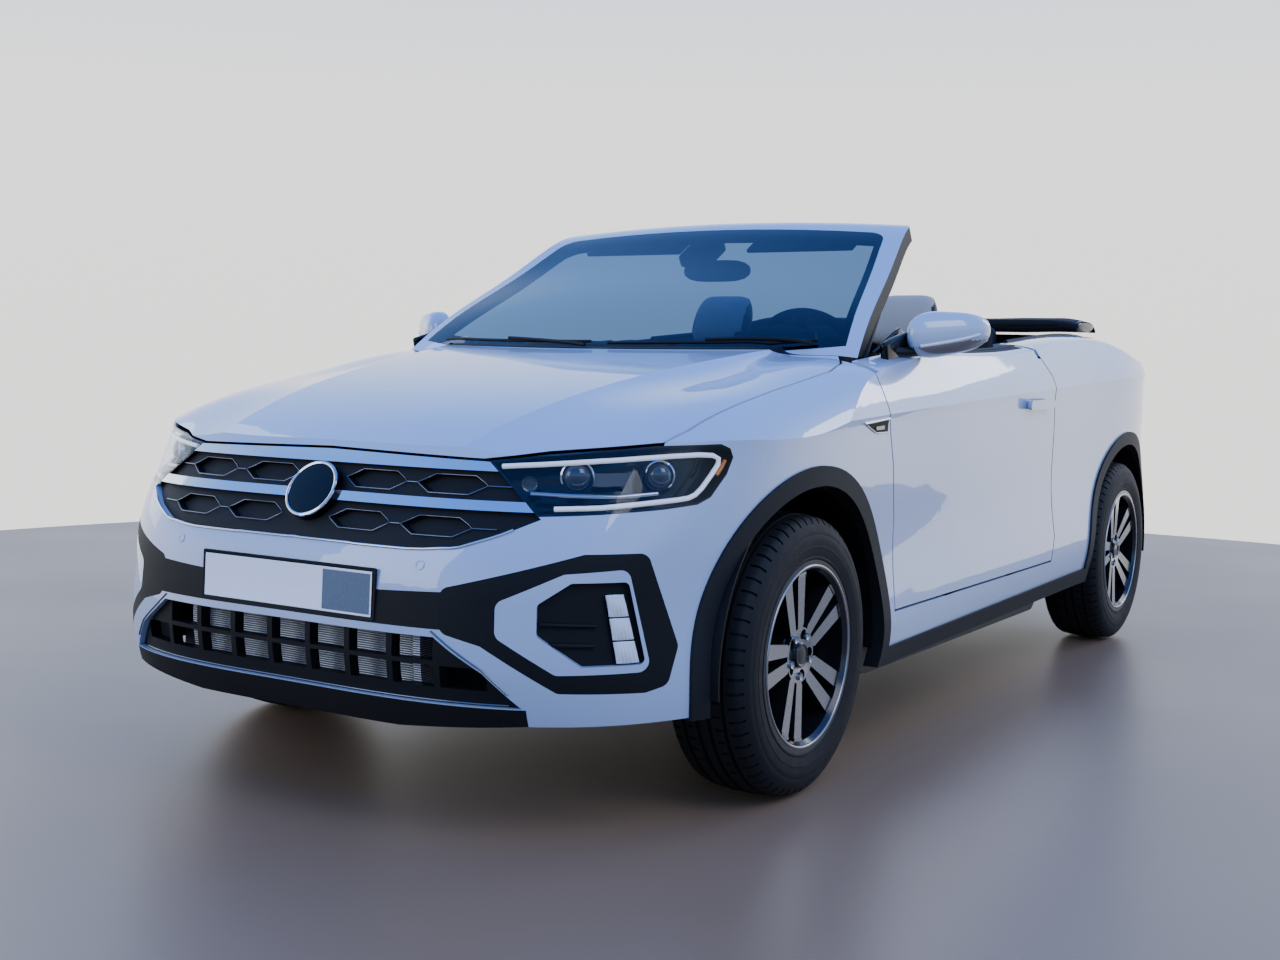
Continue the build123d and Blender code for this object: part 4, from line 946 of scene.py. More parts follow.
class SUV_OT_grille(bpy.types.Operator):
    """Chrome outlines of the grille cells, the thin links between them and the round blank badge"""
    bl_idname = "suv.grille"
    bl_label = "Upper grille"

    def execute(self, context):
        def boss(face):
            return 1 if hypot(face.center.y, face.center.z - 0.700) < 0.076 else 0
        dressed("grille_bars", ["chrome", "gloss_black"], boss, "grille_bars_plated")
        lip = met(lip_spot(y / 100) for y in range(-54, 55, 2))
        finished(tube(lip, 0.0032), "grille_lip", "chrome")
        target = ("upper_grille",)
        beads = []
        for height in CELL_ROWS:
            for number in CELL_MIDDLES:
                for side in (1, -1):
                    ring = hexagon(side * number * CELL_PITCH, height,
                                   CELL_HALF[0] - 0.001, CELL_HALF[1] - 0.001)
                    ring = [Vector(p) for p in ring] + [Vector(ring[0])]
                    line = [Vector((surface_x(target, p.x, p.y) + 0.0006, p.x, p.y))
                            for p in along(ring, 0.012)[:-1]]
                    beads.append(tube(line, 0.0014, closed=True))
        for height in CELL_ROWS:
            for side in (1, -1):
                reach = 1.78 * CELL_PITCH + CELL_HALF[0]
                for start, stop in ((0.78 * CELL_PITCH + 0.088, 1.78 * CELL_PITCH - 0.088), (reach, 0.500)):
                    if stop - start < 0.012:
                        continue
                    line = [Vector((surface_x(target, side * y, height) + 0.0004, side * y, height))
                            for y in (start, (start + stop) / 2, stop)]
                    beads.append(tube(line, 0.0016))
        finished(join(beads), "grille_cell_lines", "chrome_dark")
        lean = radians(32)
        way = Vector((cos(lean), 0, sin(lean)))
        at = Vector((2.018, 0, 0.705))
        spot = skin("grille_bars").ray_cast(at + way * 0.5, -way)[0]
        base = Vector(spot) if spot else at
        ring = lathe([(0.0002, 0.0695), (0.0030, 0.0685), (0.0042, 0.0655), (0.0030, 0.0625), (0.0002, 0.0615)],
                     base, way, 72)
        finished(ring, "badge_ring", "chrome")
        disc = lathe([(0.0004, 0.0605), (0.0016, 0.0600), (0.0030, 0.0400), (0.0036, 0.0)], base, way, 64)
        finished(disc, "badge_blank", "gloss_black")
        return {"FINISHED"}


def lip_spot(y):
    """Where the grille's lower edge comes out of the bumper at y."""
    edge = None
    for step in range(90):
        z = 0.585 + 0.001 * step
        outer = from_front(("front_bumper",), y, z)
        if not outer:
            return edge + Vector((0.0004, 0, 0.0012)) if edge else None
        edge = outer
    return None


def surface_x(target, y, z):
    """How far forward the grille's outer face reaches near y, z, pockets passed over."""
    reach = []
    for dy, dz in ((0, 0), (0.006, 0), (-0.006, 0), (0, 0.006), (0, -0.006), (0.004, 0.004), (-0.004, -0.004)):
        spot = skin(*target).ray_cast(Vector((3, y + dy, z + dz)), Vector((-1, 0, 0)))[0]
        if spot:
            reach.append(spot.x)
    return max(reach) if reach else 2.0


PLATE_Z = 0.515


def park_sensor(spot, way):
    """A round parking sensor that looks along way."""
    return button(0.0105, 0.004, Vector(spot) + Vector(way) * 0.0004, way, 28, 0.0008, -0.0008)


class SUV_OT_nose(bpy.types.Operator):
    """Number-plate holder and blank plate, chin lines, air guide of the intake and parking sensors"""
    bl_idname = "suv.nose"
    bl_label = "Nose"

    def execute(self, context):
        skins = ("bumper_trim", "front_bumper", "lower_grille")
        low = max(from_front(skins, y, 0.470).x for y in (0, 0.12, 0.24))
        high = max(from_front(skins, y, 0.560).x for y in (0, 0.12, 0.24))
        # more upright than the skin behind it, so that its lower edge stays behind the bumper's foremost line
        lean = 0.4 * atan2(low - high, 0.090)
        front = low + 0.0015 - 0.056 * sin(lean) - 0.004
        turn = (0, -lean, 0)
        holder = block((0.008, 0.520, 0.112), (front, 0, PLATE_Z), 0.003, 2, turn=turn)
        finished(sunk(holder, (1, 0, 0), 0.006, 0.003), "plate_holder", "matt_black")
        plate = block((0.002, 0.502, 0.096), (front + 0.0034, 0, PLATE_Z), 0.0008, 1, turn=turn)
        finished(sunk(plate, (1, 0, 0), 0.004, 0.0006), "plate_blank", "plate")
        band = block((0.0012, 0.136, 0.086), (front + 0.0040, 0.179, PLATE_Z), 0.0004, 1, turn=turn)
        finished(band, "plate_grey_band", "plate_grey")

        lines = []
        trail = along([Vector((-0.400, 0.452)), Vector((-0.447, 0.419)), Vector((-0.513, 0.377)),
                       Vector((-0.560, 0.330))], 0.012)
        for side in (1, -1):
            lines.append(tube(met(from_front(NOSE, side * abs(p.x), p.y, 0.001) for p in trail), 0.0020))
        bottom = met(from_front(("front_lip", "lower_grille", "front_bumper"), y / 100, 0.3035, 0.0006)
                     for y in range(-55, 56, 5))
        lines.append(tube(bottom, 0.0018))
        finished(join(lines), "chin_lines", "chrome_dark")
        guide = laid(24, 4, lambda u, v: Vector((
            1.975 - 0.36 * ((2 * u - 1) * 0.660) ** 2, (2 * u - 1) * 0.660, 0.262 + 0.335 * v)))
        modify(guide, "SOLIDIFY", thickness=0.004, offset=0)
        finished(guide, "intake_air_guide", "matt_black")

        sensors = []
        for y, z in ((0.36, 0.585), (-0.36, 0.585)):
            spot, way = meet(("front_bumper", "bumper_trim"), (3, y, z), (-1, 0, 0))
            if spot:
                sensors.append(park_sensor(spot, way))
        finished(join(sensors), "park_sensors", "paint")
        return {"FINISHED"}


class SUV_OT_fog_lamps(bpy.types.Operator):
    """Three stacked ribbed lamp segments and two ribs in each side opening"""
    bl_idname = "suv.fog_lamps"
    bl_label = "Side lamp openings"

    def execute(self, context):
        target = ("fog_panels",)
        parts = []
        for z in (0.5115, 0.4630, 0.4145):
            grid = laid(18, 8, lambda u, v: fog_spot(target, u, z - 0.0225 + 0.045 * v, v))
            modify(grid, "SOLIDIFY", thickness=0.004, offset=0)
            modify(grid, "BEVEL", width=0.0012, segments=2, limit_method="ANGLE")
            parts.append(grid)
        pair_of(join(parts), "corner_lamp", "ribbed_lens")
        ribs = []
        for z in (0.478, 0.437):
            line = met(from_front(target, y / 1000, z - (y - 560) * 0.00006, 0.006)
                       for y in range(560, 700, 12))
            ribs.append(tube(line, 0.0048))
        pair_of(join(ribs), "opening_ribs", "matt_black")
        return {"FINISHED"}


def fog_spot(target, u, z, v):
    """A place on a lamp segment: its inner edge leans out towards the ground as the ring does."""
    shift = (0.537 - z) / 0.148
    low, high = 0.699 + 0.022 * shift, 0.7215 + 0.027 * shift
    y = low + (high - low) * u
    spot = from_front(target, y, z) or from_front(target, y - 0.01, z) or Vector((1.87, y, z))
    crown = 0.010 + 0.006 * sin(pi * u) * sin(pi * v)
    ripple = 0.0010 * cos(u * tau * 6)
    return spot + Vector((cos(0.7), sin(0.7), 0)) * (crown + ripple)


# ---------------------------------------------------------------- sides, mirrors and windscreen
BOTH_DOORS = ("door_left", "door_right")


class SUV_OT_doors(bpy.types.Operator):
    """Painted door skins with black inner cards, waist seals, armrests, speakers and release levers"""
    bl_idname = "suv.doors"
    bl_label = "Doors"

    def execute(self, context):
        for side_name, side in (("left", 1), ("right", -1)):
            def choose(face, side=side):
                shut = face.normal.x < -0.7 and face.center.x < -0.40
                return 1 if shut or (abs(face.center.y) < 0.815 and face.normal.y * side < -0.5) else 0
            dressed("door_" + side_name, ["paint", "dash"], choose, "door_skin_" + side_name)
        seal = rim_line("door_left", 0.600, -0.455)
        shell = skin("door_left")
        belt = laid(60, 6, lambda u, v: belt_spot(shell, seal, u, v))
        pair_of(join([belt, tube(seal, 0.0050, sides=3)]), "waist_seal", "matt_black", 50, BOTH_DOORS)
        rest = block((0.560, 0.062, 0.070), (0.170, 0.738, 0.760), 0.018, 3, turn=(0, radians(-5), 0))
        pair_of(rest, "door_armrest", "seat_side", bodies=BOTH_DOORS)
        top = block((0.900, 0.030, 0.120), (0.170, 0.757, 0.945), 0.012, 3, turn=(0, radians(-3), 0))
        pair_of(top, "door_upper_pad", "seat_side", bodies=BOTH_DOORS)
        plate = laid(6, 4, corner_plate)
        modify(plate, "SOLIDIFY", thickness=0.012, offset=0)
        modify(plate, "BEVEL", width=0.002, segments=2, limit_method="ANGLE")
        pair_of(plate, "window_corner_plate", "gloss_black", bodies=BOTH_DOORS)
        strip = block((0.760, 0.008, 0.034), (0.200, 0.7385, 0.868), 0.003, 2, turn=(0, radians(-4), 0))
        pair_of(strip, "door_trim_strip", "chrome_dark", bodies=BOTH_DOORS)
        pocket = block((0.520, 0.046, 0.130), (0.150, 0.748, 0.500), 0.014, 3)
        pick_faces(pocket, lambda f: f.normal.z > 0.9)
        bpy.ops.mesh.inset(thickness=0.010)
        bpy.ops.mesh.extrude_region_move(TRANSFORM_OT_translate={"value": (0, 0, -0.100)})
        into("OBJECT")
        pair_of(pocket, "door_pocket", "matt_black", bodies=BOTH_DOORS)
        speaker = button(0.082, 0.008, (0.520, 0.767, 0.560), (0, -1, 0), 48, 0.002, -0.003)
        pair_of(speaker, "door_speaker", "mesh_black", bodies=BOTH_DOORS)
        lever = tube([(0.430, 0.742, 0.868), (0.385, 0.733, 0.872),
                      (0.330, 0.732, 0.874), (0.300, 0.741, 0.872)],
                     0.0065, smooth=True)
        pair_of(lever, "door_lever", "chrome_satin", bodies=BOTH_DOORS)
        return {"FINISHED"}


def rim_line(node, start, stop, steps=40):
    """The top inner edge of a door or side wall, from start to stop along the car."""
    line = []
    for k in range(steps + 1):
        x = start + (stop - start) * k / steps
        for cut in range(70):
            spot = from_above((node,), x, 0.600 + 0.003 * cut)
            if spot and spot.z > 0.95:
                line.append(spot + Vector((0, 0.003, 0.0)))
                break
    return line


def belt_spot(shell, seal, u, v):
    """The flat black strip between the inner edge and the painted shoulder."""
    place = seal[min(len(seal) - 1, round(u * (len(seal) - 1)))]
    y = place.y - 0.003 + 0.034 * v
    spot = shell.ray_cast(Vector((place.x, y, 3.0)), Vector((0, 0, -1)))[0]
    return Vector((place.x, y, (spot.z if spot else place.z) + 0.0009))


def corner_plate(u, v):
    """The black triangle between the screen pillar and the side window."""
    return Vector((0.775 - 0.170 * u, 0.778, 1.046 + (0.004 + 0.068 * u) * v))


def mirror_spot(u, v, grow=0.0):
    """A point of the mirror's cap: u round its section, v from the inner to the outer end."""
    turn = u * tau
    along_y = -cos(pi * v)
    end = max(0.0, 1 - abs(along_y) ** 3.2) ** 0.42
    middle = Vector((0.540, 0.8970, 1.1035)) + Vector((-0.056, 0.0905, 0.010)) * along_y
    wide = (0.078 - 0.016 * along_y) * end + grow
    tall = (0.0585 - 0.013 * along_y) * end + grow
    cosine, sine = cos(turn), sin(turn)
    x = swell(cosine, 0.80) * wide
    z = swell(sine, 0.86) * tall
    if x < 0:
        x *= 0.46
    return middle + Vector((x, 0, z))


class SUV_OT_mirrors(bpy.types.Operator):
    """Rounded door mirrors: painted cap, satin lower band, indicator, black foot and silvered glass"""
    bl_idname = "suv.mirrors"
    bl_label = "Mirrors"

    def execute(self, context):
        cap = laid(48, 24, mirror_spot)
        paint_faces(cap, ["paint", "chrome_satin", "gloss_black"], mirror_look)
        left, right = pair_of(cap, "mirror_cap", ["paint", "chrome_satin", "gloss_black"], 60, BOTH_DOORS)
        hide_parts("mirror_left")
        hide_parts("mirror_right")
        lamp = [mirror_spot(u, v, 0.0012) for u, v in (
            (0.925, 0.34), (0.93, 0.45), (0.935, 0.56), (0.94, 0.66), (0.945, 0.76), (0.955, 0.84))]
        pair_of(tube(lamp, 0.0042, smooth=True), "mirror_indicator", "ribbed_lens", bodies=BOTH_DOORS)
        glass = laid(18, 12, lambda u, v: mirror_glass(u, v))
        modify(glass, "SOLIDIFY", thickness=0.003, offset=0)
        pair_of(glass, "mirror_glass", "mirror_silver", bodies=BOTH_DOORS)
        foot = laid(20, 10, mirror_foot)
        pair_of(foot, "mirror_foot", "gloss_black", 60, BOTH_DOORS)
        base = block((0.150, 0.022, 0.060), (0.690, 0.800, 1.060), 0.008, 3, turn=(0, radians(14), 0))
        pair_of(base, "mirror_base", "gloss_black", bodies=BOTH_DOORS)
        return {"FINISHED"}


def mirror_look(face):
    """Slots of the mirror cap: painted, the satin band below it, black behind the glass."""
    spot = face.center
    share = (spot.y - 0.8975) / 0.0895
    low = 1.1035 + 0.010 * share - (0.0585 - 0.013 * share) * 0.52
    if spot.x < 0.540 - 0.056 * share - 0.024:
        return 2
    return 1 if spot.z < low else 0


def mirror_glass(u, v):
    """The silvered glass in the back of the door mirror."""
    y = 0.826 + 0.146 * u
    share = (y - 0.8975) / 0.0895
    tall = 0.041 * (1 - abs(2 * u - 1) ** 4 * 0.35)
    x = 0.540 - 0.056 * share - 0.0370
    return Vector((x, y, 1.103 + 0.012 * share + tall * (2 * v - 1)))


def mirror_foot(u, v):
    """The short arm between the cap and the door's corner plate."""
    turn = u * tau
    start, stop = Vector((0.560, 0.850, 1.064)), Vector((0.690, 0.800, 1.052))
    bow = Vector((0, 0, -0.006)) * sin(pi * v)
    thick = 0.017 - 0.003 * sin(pi * v)
    wide = 0.036 + 0.012 * v
    return start.lerp(stop, v) + bow + Vector((cos(turn) * wide, 0, sin(turn) * thick))


# the windscreen: its lean from level, half its width at the foot and top, its height along the slope
SCREEN_LEAN = radians(30.2)
SCREEN_HALF = 0.713
SCREEN_TOP_HALF = 0.572
SCREEN_RISE = 0.650
SCREEN_UP = Vector((-cos(SCREEN_LEAN), 0, sin(SCREEN_LEAN)))
SCREEN_OUT = Vector((sin(SCREEN_LEAN), 0, cos(SCREEN_LEAN)))
SCREEN_BASE = Vector((0.807, 0, 1.063))


def on_glass(up, y, lift=0.0):
    """A spot on the windscreen, up metres along its slope, moved out square to it."""
    start = SCREEN_BASE + SCREEN_UP * up + Vector((0, y, 0)) + SCREEN_OUT * 0.5
    spot = skin("windscreen").ray_cast(start, -SCREEN_OUT)[0]
    if not spot:
        bulge = (0.066 - 0.024 * up / SCREEN_RISE) * (1 - (y / SCREEN_HALF) ** 2)
        spot = SCREEN_BASE + SCREEN_UP * up + Vector((0, y, 0)) + SCREEN_OUT * bulge
    return Vector(spot) + SCREEN_OUT * lift


def glass_edge(up):
    """Half the pane's width, up metres along its slope."""
    return SCREEN_HALF - (SCREEN_HALF - SCREEN_TOP_HALF) * up / SCREEN_RISE


def glass_foot(y):
    """How far below the base the pane's lower edge runs at y."""
    return -0.155 * (1 - (y / SCREEN_HALF) ** 2)


class SUV_OT_windscreen(bpy.types.Operator):
    """White frame with black inner trim, printed glass border, wipers, sensor block and interior mirror"""
    bl_idname = "suv.windscreen"
    bl_label = "Windscreen"

    def execute(self, context):
        def choose(face):
            out = face.normal.dot(SCREEN_OUT)
            if out < -0.25 or abs(face.normal.y) > 0.75:
                return 1
            if abs(out) <= 0.25:
                reach = (face.center - SCREEN_BASE).dot(SCREEN_OUT)
                inward = face.normal.y * face.center.y < 0 or face.normal.dot(SCREEN_UP) < -0.5
                return 1 if inward or reach < -0.030 else 0
            return 0
        dressed("windscreen_frame", ["paint", "matt_black"], choose, "screen_frame_painted")
        bands = []
        under = -0.0062
        for side in (1, -1):
            bands.append(laid(2, 20, lambda u, v, s=side: on_glass(
                0.004 + 0.636 * v, s * (glass_edge(0.004 + 0.636 * v) - 0.004 - 0.020 * u), under)))
        bands.append(laid(30, 2, lambda u, v: on_glass(0.646 - 0.034 * v, (2 * u - 1) * 0.560, under)))
        bands.append(laid(36, 3, lambda u, v: on_glass(
            glass_foot((2 * u - 1) * 0.700) + 0.004 + 0.050 * v, (2 * u - 1) * 0.700, under)))
        finished(join(bands), "screen_print", "matt_black")
        seals = []
        for side in (1, -1):
            line = [on_glass(up, side * (glass_edge(up) + 0.040), -0.040)
                    for up in [0.010 + 0.660 * k / 12 for k in range(13)]]
            seals.append(tube(line, 0.0075))
        finished(join(seals), "pillar_seals", "matt_black")
        blades = []
        for start, stop in ((-0.600, 0.010), (0.070, 0.640)):
            line = [on_glass(glass_foot(start + (stop - start) * t) + 0.012 + 0.008 * t,
                             start + (stop - start) * t, 0.010) for t in [k / 10 for k in range(11)]]
            blades.append(tube(line, 0.0042))
            arm = [on_glass(glass_foot(stop) - 0.012, stop, 0.016),
                   on_glass(glass_foot(stop) + 0.008, stop - 0.08, 0.016),
                   on_glass(glass_foot((start + stop) / 2) + 0.020, (start + stop) / 2, 0.016)]
            blades.append(tube(arm, 0.0052, smooth=True))
        finished(join(blades), "wipers", "matt_black")
        at = on_glass(0.545, 0, -0.032)
        sensor = block((0.120, 0.110, 0.044), at, 0.012, 3, turn=(0, SCREEN_LEAN, 0))
        finished(sensor, "sensor_block", "matt_black")
        mirror = laid(32, 10, cabin_mirror)
        finished(mirror, "cabin_mirror", "gloss_black", angle=50)
        hanger = tube([on_glass(0.500, 0, -0.030), Vector((0.262, 0, 1.315))], 0.009)
        finished(hanger, "cabin_mirror_stalk", "matt_black")
        visors = []
        for side in (1, -1):
            spot = on_glass(0.655, side * 0.30, -0.046)
            visors.append(block((0.105, 0.360, 0.014), spot, 0.006, 3, turn=(0, radians(30), 0)))
        finished(join(visors), "sun_visors", "visor_cloth")
        return {"FINISHED"}


def cabin_mirror(u, v):
    """The interior mirror's shell, rounded at both ends."""
    turn = u * tau
    along_y = -cos(pi * v)
    end = max(0.0, 1 - abs(along_y) ** 4) ** 0.5
    x = cos(turn) * 0.016 * end
    z = sin(turn) * 0.034 * end
    return Vector((0.250 + x, 0.122 * along_y, 1.300 + z))


class SUV_OT_side_vents(bpy.types.Operator):
    """Wedge vents behind the front wheels: black field, chrome spear and edge"""
    bl_idname = "suv.side_vents"
    bl_label = "Fender vents"

    def execute(self, context):
        target = ("fender_left",)

        def wedge(u, v, lift):
            top = Vector((1.077 - 0.166 * u, 0.872 + 0.009 * u))
            low = Vector((1.060 - 0.150 * u, 0.868 - 0.021 * min(1, u * 2.2)))
            spot = low.lerp(top, v)
            return from_side(target, spot.x, spot.y, lift) or Vector((spot.x, 0.893, spot.y))

        field = laid(16, 4, lambda u, v: wedge(u, v, 0.0012 - 0.0008 * sin(pi * v)))
        pair_of(field, "vent_field", "matt_black")
        spear = [wedge(k / 12, 1.0, 0.0022) for k in range(13)]
        low = [wedge(k / 12, 0.0, 0.0018) for k in range(13)]
        edge = join([tube(spear, 0.0034), tube(low, 0.0016)])
        pair_of(edge, "vent_spear", "chrome")
        side_lamp = laid(8, 3, lambda u, v: wedge(0.45 + 0.35 * u, 0.25 + 0.3 * v, 0.0032))
        pair_of(side_lamp, "vent_bar", "chrome_dark")
        return {"FINISHED"}


# ---------------------------------------------------------------- upholstery
SEAT_Y = 0.355


def between(table, value):
    """Reads a value off a short table of (place, value), smoothly between its rows."""
    if value <= table[0][0]:
        return table[0][1]
    for (low, a), (high, b) in zip(table, table[1:]):
        if value <= high:
            t = (value - low) / (high - low)
            return a + (b - a) * t * t * (3 - 2 * t)
    return table[-1][1]


class Slope:
    """Places on a leaning backrest: across the car, up the slope and out towards the sitter."""

    def __init__(self, x, y, z, lean):
        """The foot of the backrest and how far it leans back."""
        self.foot = Vector((x, y, z))
        self.up = Vector((-sin(lean), 0, cos(lean)))
        self.out = Vector((cos(lean), 0, sin(lean)))

    def at(self, across, up, out):
        """The place at these distances from the foot."""
        return self.foot + Vector((0, across, 0)) + self.up * up + self.out * out


FRONT_BACK = Slope(-0.080, SEAT_Y, 0.470, radians(23))
BACK_WIDTH = [(0.0, 0.226), (0.20, 0.241), (0.40, 0.240), (0.56, 0.182), (0.64, 0.104)]
FRONT_TOP = [(-0.220, 0.500), (-0.080, 0.512), (0.100, 0.536), (0.300, 0.552), (0.366, 0.520)]


def rounded_block(wide, deep, u, v, ends=5.0, square=0.5):
    """Unit section of a soft block: (across, out) and how full the section is at v."""
    turn = u * tau
    along = -cos(pi * v)
    end = max(0.0, 1 - abs(along) ** ends) ** 0.4
    cosine, sine = cos(turn), sin(turn)
    return (swell(cosine, square) * wide * end,
            swell(sine, square + 0.15) * deep * end, (along + 1) / 2)


def hollow_at(across, half, depth):
    """A flat-bottomed hollow between raised sides."""
    t = min(1.0, max(0.0, (half + 0.022 - abs(across)) / 0.040))
    return depth * t * t * (3 - 2 * t)


def back_shell(u, v):
    """The front seat's backrest: waisted, hollowed for the insert, with side wings."""
    _, _, share = rounded_block(1, 1, u, v)
    up = 0.004 + 0.632 * share
    across, out, _ = rounded_block(between(BACK_WIDTH, up), 0.057, u, v, 9.0)
    out -= 0.058
    if out > -0.050:
        out -= hollow_at(across, 0.150 * between(BACK_WIDTH, up) / 0.24, 0.018)
        out += 0.012 * exp(-((abs(across) - 0.205) / 0.030) ** 2)
    return FRONT_BACK.at(across, up, out)


def cushion_shell(u, v):
    """The front seat's cushion: raised at the knees, with side wings."""
    _, _, share = rounded_block(1, 1, u, v)
    x = -0.222 + 0.582 * share
    across, rise, _ = rounded_block(0.244, 0.5, u, v, 9.0)
    top = between(FRONT_TOP, x)
    z = (top + 0.405) / 2 + rise * (top - 0.405)
    if rise > 0.3:
        z -= hollow_at(across, 0.146, 0.020)
        z += 0.010 * exp(-((abs(across) - 0.205) / 0.030) ** 2)
    return Vector((x, SEAT_Y + across, z))


def pad(name_size, place):
    """A rounded pad drawn as a cube, its points then laid by place(a, b, c), each from -1 to 1."""
    wide, tall, thick = name_size
    obj = block((wide, tall, thick), (0, 0, 0), min(wide, tall, thick) * 0.46, 4)
    modify(obj, "REMESH", mode="VOXEL", voxel_size=max(0.008, thick * 0.22))
    for vertex in obj.data.vertices:
        spot = vertex.co
        vertex.co = place(spot.x * 2 / wide, spot.y * 2 / tall, spot.z * 2 / thick)
    return obj


def puff(pads, limit, pressure=4.0):
    """Blows closed pads up like stuffed cloth; no point moves more than limit."""
    rests = []
    for obj in pads:
        rests.append([v.co.copy() for v in obj.data.vertices])
    for obj in pads:
        pick(obj)
        cloth = obj.modifiers.new("Cloth", "CLOTH")
        cloth.settings.quality = 5
        cloth.settings.mass = 0.3
        cloth.settings.tension_stiffness = 12
        cloth.settings.compression_stiffness = 12
        cloth.settings.bending_stiffness = 0.6
        cloth.settings.use_pressure = True
        cloth.settings.uniform_pressure_force = pressure
        cloth.settings.effector_weights.gravity = 0
        cloth.point_cache.frame_end = 20
    for number in range(1, 21):
        bpy.context.scene.frame_set(number)
    graph = bpy.context.evaluated_depsgraph_get()
    for obj, rest in zip(pads, rests):
        blown = obj.evaluated_get(graph)
        moved = [v.co.copy() for v in blown.data.vertices]
        obj.modifiers.clear()
        for vertex, before, after in zip(obj.data.vertices, rest, moved):
            step = after - before
            if step.length > limit:
                step *= limit / step.length
            vertex.co = before + step
    bpy.context.scene.frame_set(1)
    for obj in pads:
        modify(obj, "SMOOTH", factor=0.5, iterations=3)
        modify(obj, "SUBSURF", levels=1, render_levels=1)


def sew(obj, slope, seams, depth=0.0055, width=0.006):
    """Presses sewn channels into a pad: seams are heights up the slope."""
    for vertex in obj.data.vertices:
        away = vertex.co - slope.foot
        up = away.dot(slope.up)
        for seam in seams:
            pull = exp(-((up - seam) / width) ** 2)
            if pull > 0.02:
                vertex.co -= slope.out * depth * pull


class SUV_OT_front_seats(bpy.types.Operator):
    """Two sports seats: black hide shells, puffed cloth inserts with sewn channels, piping, head restraints"""
    bl_idname = "suv.front_seats"
    bl_label = "Front seats"

    def execute(self, context):
        shells = [laid(56, 40, back_shell), laid(56, 40, cushion_shell)]
        names = ["front_back_shell", "front_cushion_shell"]
        insert = pad((0.300, 0.520, 0.034), lambda a, b, c: FRONT_BACK.at(
            a * 0.143 * between(BACK_WIDTH, 0.305 + 0.262 * b) / 0.235, 0.305 + 0.262 * b, -0.010 + c * 0.014))
        cushion = pad((0.290, 0.400, 0.036), lambda a, b, c: Vector((
            0.118 + 0.196 * b, SEAT_Y + a * 0.140, between(FRONT_TOP, 0.118 + 0.196 * b) - 0.014 + c * 0.014)))
        rest = pad((0.230, 0.180, 0.090), lambda a, b, c: FRONT_BACK.at(
            a * (0.122 - 0.020 * max(0.0, b)), 0.776 + 0.096 * b, -0.047 + c * (0.038 - 0.006 * b * b)))
        puff([insert, cushion, rest], 0.009)
        sew(insert, FRONT_BACK, (0.16, 0.27, 0.38, 0.49))
        for vertex in cushion.data.vertices:
            for seam in (0.02, 0.13, 0.24):
                vertex.co.z -= 0.005 * exp(-((vertex.co.x - seam) / 0.006) ** 2)

        def rest_look(face):
            away = face.center - FRONT_BACK.foot
            return 0 if away.dot(FRONT_BACK.out) > -0.040 and abs(away.y) < 0.100 else 1
        paint_faces(rest, ["seat_cloth", "seat_side"], rest_look)
        edge = [FRONT_BACK.at(a, up, 0.0015) for a, up in (
            (-0.143, 0.05), (-0.150, 0.25), (-0.152, 0.40), (-0.120, 0.54), (-0.080, 0.578), (0.080, 0.578),
            (0.120, 0.54), (0.152, 0.40), (0.150, 0.25), (0.143, 0.05))]
        piping = tube(edge, 0.0028, smooth=True)
        posts = [tube([FRONT_BACK.at(y, 0.610, -0.055), FRONT_BACK.at(y, 0.720, -0.050)], 0.0075)
                 for y in (0.060, -0.060)]
        base = block((0.380, 0.380, 0.180), (0.070, SEAT_Y, 0.313), 0.024, 3)
        pick_faces(base, lambda f: abs(f.normal.y) > 0.9)
        bpy.ops.mesh.inset(thickness=0.030)
        bpy.ops.transform.resize(value=(1, 0.965, 1))
        into("OBJECT")
        rails = [block((0.400, 0.044, 0.024), (0.070, SEAT_Y + s * 0.165, 0.2265), 0.005, 2) for s in (1, -1)]
        lever = block((0.140, 0.014, 0.026), (0.130, SEAT_Y + 0.196, 0.400), 0.006, 2)
        soft = []
        for shape, name in zip(shells, names):
            left, right = pair_of(shape, name, "seat_side", 60)
            soft += [left, right]
        for shape, name, look in ((insert, "front_back_insert", "seat_cloth"),
                                  (cushion, "front_cushion_insert", "seat_cloth"),
                                  (rest, "front_head_rest", ["seat_cloth", "seat_side"])):
            for piece in pair_of(shape, name, look, 70):
                soft.append(piece)
        pair_of(piping, "front_seat_piping", "seat_side")
        pair_of(join(posts), "front_rest_posts", "chrome_satin")
        pair_of(base, "front_seat_base", "matt_black")
        pair_of(join(rails), "front_seat_rails", "steel")
        pair_of(lever, "front_seat_lever", "matt_black")
        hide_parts("front_seat_left")
        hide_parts("front_seat_right")
        return {"FINISHED"}


REAR_BACK = Slope(-1.000, 0.290, 0.505, radians(14))
REAR_TOP = [(-1.010, 0.500), (-0.900, 0.516), (-0.640, 0.545), (-0.560, 0.528), (-0.548, 0.500)]


def rear_cushion(u, v):
    """The bench: section across its depth, from one side of the car to the other."""
    turn = u * tau
    y = -0.556 + 1.112 * v
    end = max(0.0, 1 - abs(2 * v - 1) ** 40) ** 0.4
    cosine, sine = cos(turn), sin(turn)
    x = -0.778 + swell(cosine, 0.45) * 0.226 * max(end, 0.02)
    top = between(REAR_TOP, x)
    z = (top + 0.446) / 2 + swell(sine, 0.5) * (top - 0.446) / 2 * end
    if sine > 0.3:
        z -= hollow_at(abs(y) - 0.290, 0.180, 0.014)
    return Vector((x, y, z))


